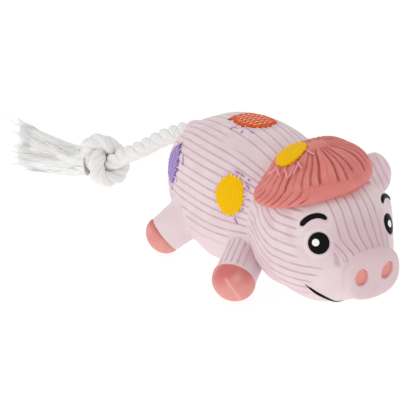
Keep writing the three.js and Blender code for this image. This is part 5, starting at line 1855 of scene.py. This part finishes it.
@dataclass
class Inside:
    """What the skin hides: wadding, the squeaker with its folded bellows, and the rope's stopper."""

    bodies: Bodies
    bellows_radius: float = 13.5
    fold_depth: float = 1.5
    folds: int = 4
    wall: float = 0.8
    lip_radii: tuple[float, float] = (7.2, 12.0)

    def build(self, sheet: Sheet, finishes: Finishes, frame: dict) -> None:
        """Makes the soft pieces inside and dresses the squeaker's plastic ones."""
        for name, form, node, seed in (
            ("body_wadding", self.bodies.torso.grown(-4.2), "body_stuffing", 81),
            ("head_wadding", self.bodies.skull.grown(-4.2), "head_stuffing", 82),
        ):
            plain = form.skin(60, 120)
            lift = 0.9 * ripples(plain, 9.0, seed) - 0.4
            points = plain + lift[..., None] * form.outward(plain)
            flat = np.zeros(plain.shape[:2])
            # The valley attribute paints shade into the wadding's hollows.
            valley = np.clip(-0.6 * ripples(plain, 9.0, seed), 0, 1)
            part = capped_grid(points, {"along": flat, "around": flat, "valley": valley})
            made = sheet.piece(name, [part], finishes.wadding, "toy", [node])
        self.build_bellows(sheet, finishes)
        self.build_stopper(sheet, finishes)
        for node in ("squeaker_plug", "squeaker_end_plate", "reed_seat", "reed_clamp"):
            self.dress(frame["nodes"][node], finishes.plastic)
        self.dress(frame["nodes"]["reed"], finishes.reed)

    @staticmethod
    def dress(node: bpy.types.Object, material: Finish) -> None:
        """Gives a CAD node a finish."""
        if not node.material_slots:
            node.data.materials.append(material)
        for slot in node.material_slots:
            slot.material = material

    def build_bellows(self, sheet: Sheet, finishes: Finishes) -> None:
        """Makes the bellows: a thin wall whose radius waves four times, with rounded folds."""
        low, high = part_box("squeaker_bellows")
        bottom, top = low[2] / METRES_PER_MM, high[2] / METRES_PER_MM
        share = np.linspace(0, 1, 90)
        outer = self.bellows_radius + self.fold_depth * np.cos(2 * np.pi * (self.folds * share + 0.5))
        height = bottom + (top - bottom) * share
        lip, level = np.linspace(*self.lip_radii, 8), np.ones(8)
        radius = np.concatenate([lip, outer, lip[::-1], lip, outer[::-1] - self.wall, lip[::-1]])
        floor, roof = bottom + self.wall, top - self.wall
        inner = height[::-1].clip(floor, roof)
        up = np.concatenate([bottom * level, height, top * level, roof * level, inner, floor * level])
        ring = spokes(round_turn(72), np.eye(3))
        rows = radius[:, None, None] * ring[None] + self.bodies.torso_shift
        rows[..., 2] = up[:, None]
        part = (rows, grid_faces(rows.shape[0], rows.shape[1], True, True), {})
        nodes = ["squeaker_bellows"]
        made = sheet.piece("folded_bellows", [part], finishes.plastic, "toy", nodes)
        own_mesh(made)

    def build_stopper(self, sheet: Sheet, finishes: Finishes) -> None:
        """Makes the rope's stopper knot: a ball of three crossed turns inside the rump."""
        low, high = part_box("rope_stopper_knot")
        centre = (np.array(low) + np.array(high)) / 2 / METRES_PER_MM
        ball = Swell(tuple(centre), (8.6, 8.6, 8.6), 2.0, 2.0)
        plain = ball.skin(48, 96)
        x, y, z = np.moveaxis(plain - centre, -1, 0)
        turns = np.cos(0.9 * (x + 0.6 * z)) * np.cos(0.7 * (y - 0.5 * z))
        points = plain + (0.5 * turns)[..., None] * ball.outward(plain)
        # The valley attribute paints shade into the hollows between the turns.
        part = capped_grid(points, {"along": x + 0.6 * z, "around": y, "valley": np.clip(-turns, 0, 1)})
        nodes = ["rope_stopper_knot"]
        sheet.piece("stopper_knot_turns", [part], finishes.cotton, "toy", nodes)


# The studio


@dataclass(frozen=True)
class Studio:
    """The photograph's camera, a plain white floor and soft light from large lamps."""

    azimuth: float = -32.051
    elevation: float = 24.603
    roll: float = -0.959
    distance: float = 802.72
    lens: float = 137.174
    aim: Place = (-35.979, 10.802, 39.086)

    def sight(self) -> tuple[Array, Array, Array]:
        """The directions to the camera, up the picture and to its left, before the roll."""
        turn, rise = math.radians(self.azimuth), math.radians(self.elevation)
        back = np.array((math.sin(turn) * math.cos(rise), -math.cos(turn) * math.cos(rise), math.sin(rise)))
        right = np.array((math.cos(turn), math.sin(turn), 0.0))
        return back, np.cross(back, right), -right

    def camera(self) -> None:
        """Places the camera: out from its aim by azimuth and elevation, then rolled."""
        roll = math.radians(self.roll)
        back, up, left = self.sight()
        right = -left
        across = right * math.cos(roll) + up * math.sin(roll)
        over = up * math.cos(roll) - right * math.sin(roll)
        data = bpy.data.cameras.new("camera")
        data.lens = self.lens
        data.sensor_width = 36.0
        data.clip_start, data.clip_end = 0.01, 20.0
        made = bpy.data.objects.new("camera", data)
        place = (np.array(self.aim) + self.distance * back) * METRES_PER_MM
        columns = np.stack([across, over, back, place], axis=1)
        made.matrix_world = Matrix([*columns.tolist(), (0.0, 0.0, 0.0, 1.0)])
        bpy.context.scene.collection.objects.link(made)
        bpy.context.scene.camera = made

    def lamp(self, name: str, place: Place, size: float, power: float) -> None:
        """Adds a large soft lamp that points at the toy; place and size are in metres."""
        data = bpy.data.lights.new(name, "AREA")
        data.shape = "DISK"
        data.size = size
        data.energy = power
        made = bpy.data.objects.new(name, data)
        made.location = place
        made.rotation_mode = "QUATERNION"
        made.rotation_quaternion = (Vector((0.0, 0.02, 0.03)) - Vector(place)).to_track_quat("-Z", "Y")
        bpy.context.scene.collection.objects.link(made)

    def world(self) -> None:
        """Soft light from all round; the camera and reflections see plain white."""
        world = bpy.data.worlds.new("studio_white")
        world.use_nodes = True
        tree = world.node_tree
        shader = tree.nodes["Background"]
        rays, seen = tree.nodes.new("ShaderNodeLightPath"), tree.nodes.new("ShaderNodeMath")
        seen.operation = "MAXIMUM"
        tree.links.new(rays.outputs["Is Camera Ray"], seen.inputs[0])
        tree.links.new(rays.outputs["Is Glossy Ray"], seen.inputs[1])
        level = tree.nodes.new("ShaderNodeMapRange")
        level.inputs["To Min"].default_value = 0.69
        level.inputs["To Max"].default_value = 1.0
        tree.links.new(seen.outputs[0], level.inputs["Value"])
        tree.links.new(level.outputs["Result"], shader.inputs["Strength"])
        shader.inputs["Color"].default_value = (1.0, 1.0, 1.0, 1.0)
        bpy.context.scene.world = world

    def floor(self) -> None:
        """A wide plain floor of white paper, brighter to the camera, that keeps the toy's soft shadow."""
        mesh = bpy.data.meshes.new("paper_floor")
        half = 3.0
        corners = [(-half, -half, 0), (half, -half, 0), (half, half, 0), (-half, half, 0)]
        mesh.from_pydata(corners, [], [(0, 1, 2, 3)])
        made = bpy.data.objects.new("paper_floor", mesh)
        g = Graph("white_paper")
        g.tree.nodes.clear()
        choice = g.node("ShaderNodeMixShader")
        g.feed(choice.inputs["Fac"], g.node("ShaderNodeLightPath").outputs["Is Camera Ray"])
        for socket, tone, strength in ((choice.inputs[1], 0.82, 0.4), (choice.inputs[2], 0.24, 0.86)):
            paper, glow = g.node("ShaderNodeBsdfDiffuse"), g.node("ShaderNodeEmission")
            both = g.node("ShaderNodeAddShader")
            g.feed(paper.inputs["Color"], (tone, tone, tone))
            g.feed(glow.inputs["Strength"], strength)
            g.feed(both.inputs[0], paper.outputs[0])
            g.feed(both.inputs[1], glow.outputs[0])
            g.feed(socket, both.outputs[0])
        g.feed(g.node("ShaderNodeOutputMaterial").inputs["Surface"], choice.outputs[0])
        mesh.materials.append(g.material)
        bpy.context.scene.collection.objects.link(made)

    def build(self) -> None:
        """Makes the camera, the lamps, the world and the floor."""
        self.camera()
        self.world()
        self.floor()
        self.lamp("side_lamp", (-1.15, 0.0, 0.5), 0.9, 2.4)
        self.lamp("front_lamp", (-0.6, -1.1, 0.3), 0.8, 0.2)
        self.lamp("top_lamp", (0.2, 0.1, 1.3), 1.0, 1.4)
        bpy.context.scene.view_settings.view_transform = "Standard"


# The whole toy


def patches(bodies: Bodies, cap: Cap) -> list[tuple[Patch, str, str]]:
    """The four patches, each with its finish's name in Finishes and its slot."""
    torso = bodies.torso
    origin = torso.centre
    flank = Patch(
        "flank_patch_knit", "flank_patch", torso, (-32.5, -28.0, 13.5), UP, (8.25, 10.0), Pile.UPRIGHT, 3,
        origin=origin,
        fringe=17,
        strokes=(
            ((-25.5, -24.7, 23.9), (-24.6, -27.4, 23.6), (-23.7, -31.0, 22.4)),
            ((-23.3, -32.6, 21.8), (-22.5, -34.2, 21.4)),
            ((-24.6, -32.6, 20.3), (-24.2, -36.3, 17.4)),
            ((-26.0, -37.0, 12.8), (-25.1, -37.7, 13.8), (-24.4, -38.9, 13.4)),
            ((-26.4, -37.6, 10.1), (-27.4, -36.9, 7.9), (-26.3, -38.8, 6.6)),
            ((-28.3, -35.1, 8.4), (-27.9, -36.2, 7.3)),
            ((-30.6, -31.6, 2.4), (-29.8, -33.3, -0.9)),
        ),
    )
    back = Patch(
        "back_patch_knit", "back_patch", torso, (5.5, 4.0, 35.0), AHEAD, (10.7, 12.2), Pile.ARCHED, 5,
        origin=origin,
        fringe=13,
        strokes=(
            ((-11.7, 1.1, 34.5), (-8.7, 2.1, 34.9), (-8.3, -0.9, 35.0)),
            ((-10.0, -6.9, 34.6), (-7.6, -4.8, 35.0)),
            ((-4.6, -7.3, 35.1), (-5.2, -11.0, 34.9)),
        ),
    )
    rump = Patch(
        "rump_patch_knit", "rump_patch", torso, (-31.0, 25.2, 11.7), UP, (7.5, 10.0), Pile.NUBBLED, 7,
        origin=origin,
        fringe=11,
        spikes=0.09,
        strokes=(
            ((-26.7, 23.0, 23.4), (-27.2, 23.6, 22.4)),
            ((-30.7, 15.8, 20.3), (-32.9, 12.8, 16.7), (-33.2, 13.6, 15.6)),
            ((-34.5, 17.0, 6.9), (-34.8, 16.3, 5.5)),
            ((-33.3, 24.0, 0.2), (-33.3, 23.9, -2.4)),
        ),
    )
    top = Patch(
        "cap_patch_knit", "cap_patch", cap.crown, (-8.6, 17.9, -1.8), np.array((0.776, 0.0, -0.63)),
        (7.8, 10.8), Pile.UPRIGHT, 9,
        outside=cap.outside,
        spikes=0.03,
        strokes=(
            ((-12.8, 16.1, 9.3), (-14.2, 13.7, 14.8)),
            ((-18.5, 14.2, 6.2), (-21.0, 10.6, 11.1)),
            ((-14.4, 15.3, 10.1), (-20.5, 11.0, 11.4)),
            ((-17.9, 15.1, -0.6), (-20.9, 13.2, 0.3), (-22.8, 11.1, -4.3)),
            ((-19.5, 14.2, 0.6), (-22.0, 11.7, 5.6)),
            ((-4.5, 18.3, 6.1), (-4.7, 16.9, 13.1)),
            ((-12.7, 15.6, 11.2), (-18.6, 12.0, 12.7)),
        ),
    )
    return [
        (flank, "yellow", "yellow_latex"),
        (back, "orange", "orange_latex"),
        (rump, "purple", "purple_latex"),
        (top, "yellow", "yellow_latex"),
    ]


def main() -> None:
    """Builds the whole scene in order."""
    logging.basicConfig(level=logging.INFO, format="%(name)s: %(message)s")
    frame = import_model()
    sheet = Sheet()
    finishes = Finishes()
    bodies = Bodies()
    Studio().build()
    Rope(bodies).build(sheet, finishes)
    cap = Cap(bodies)
    sewn = patches(bodies, cap)
    Torso(bodies, [patch for patch, _, _ in sewn if patch.form is bodies.torso]).build(sheet, finishes)
    head = Head(bodies)
    head.build(sheet, finishes)
    Snout(bodies).build(sheet, finishes)
    cap.build(sheet, finishes)
    Ear(bodies).build(sheet, finishes)
    for name in bodies.legs:
        Leg(bodies, name, 2.4 if name.startswith("front") else 0.4).build(sheet, finishes)
    Face(head).build(sheet, finishes)
    for patch, finish, slot in sewn:
        thread = finishes.pale_thread if patch.node == "cap_patch" else finishes.thread
        patch.build(sheet, getattr(finishes, finish), slot, thread, finishes.fringe)
    Inside(bodies).build(sheet, finishes, frame)
    LOG.info("%d pieces", len(sheet.made))


if __name__ == "__main__":
    main()
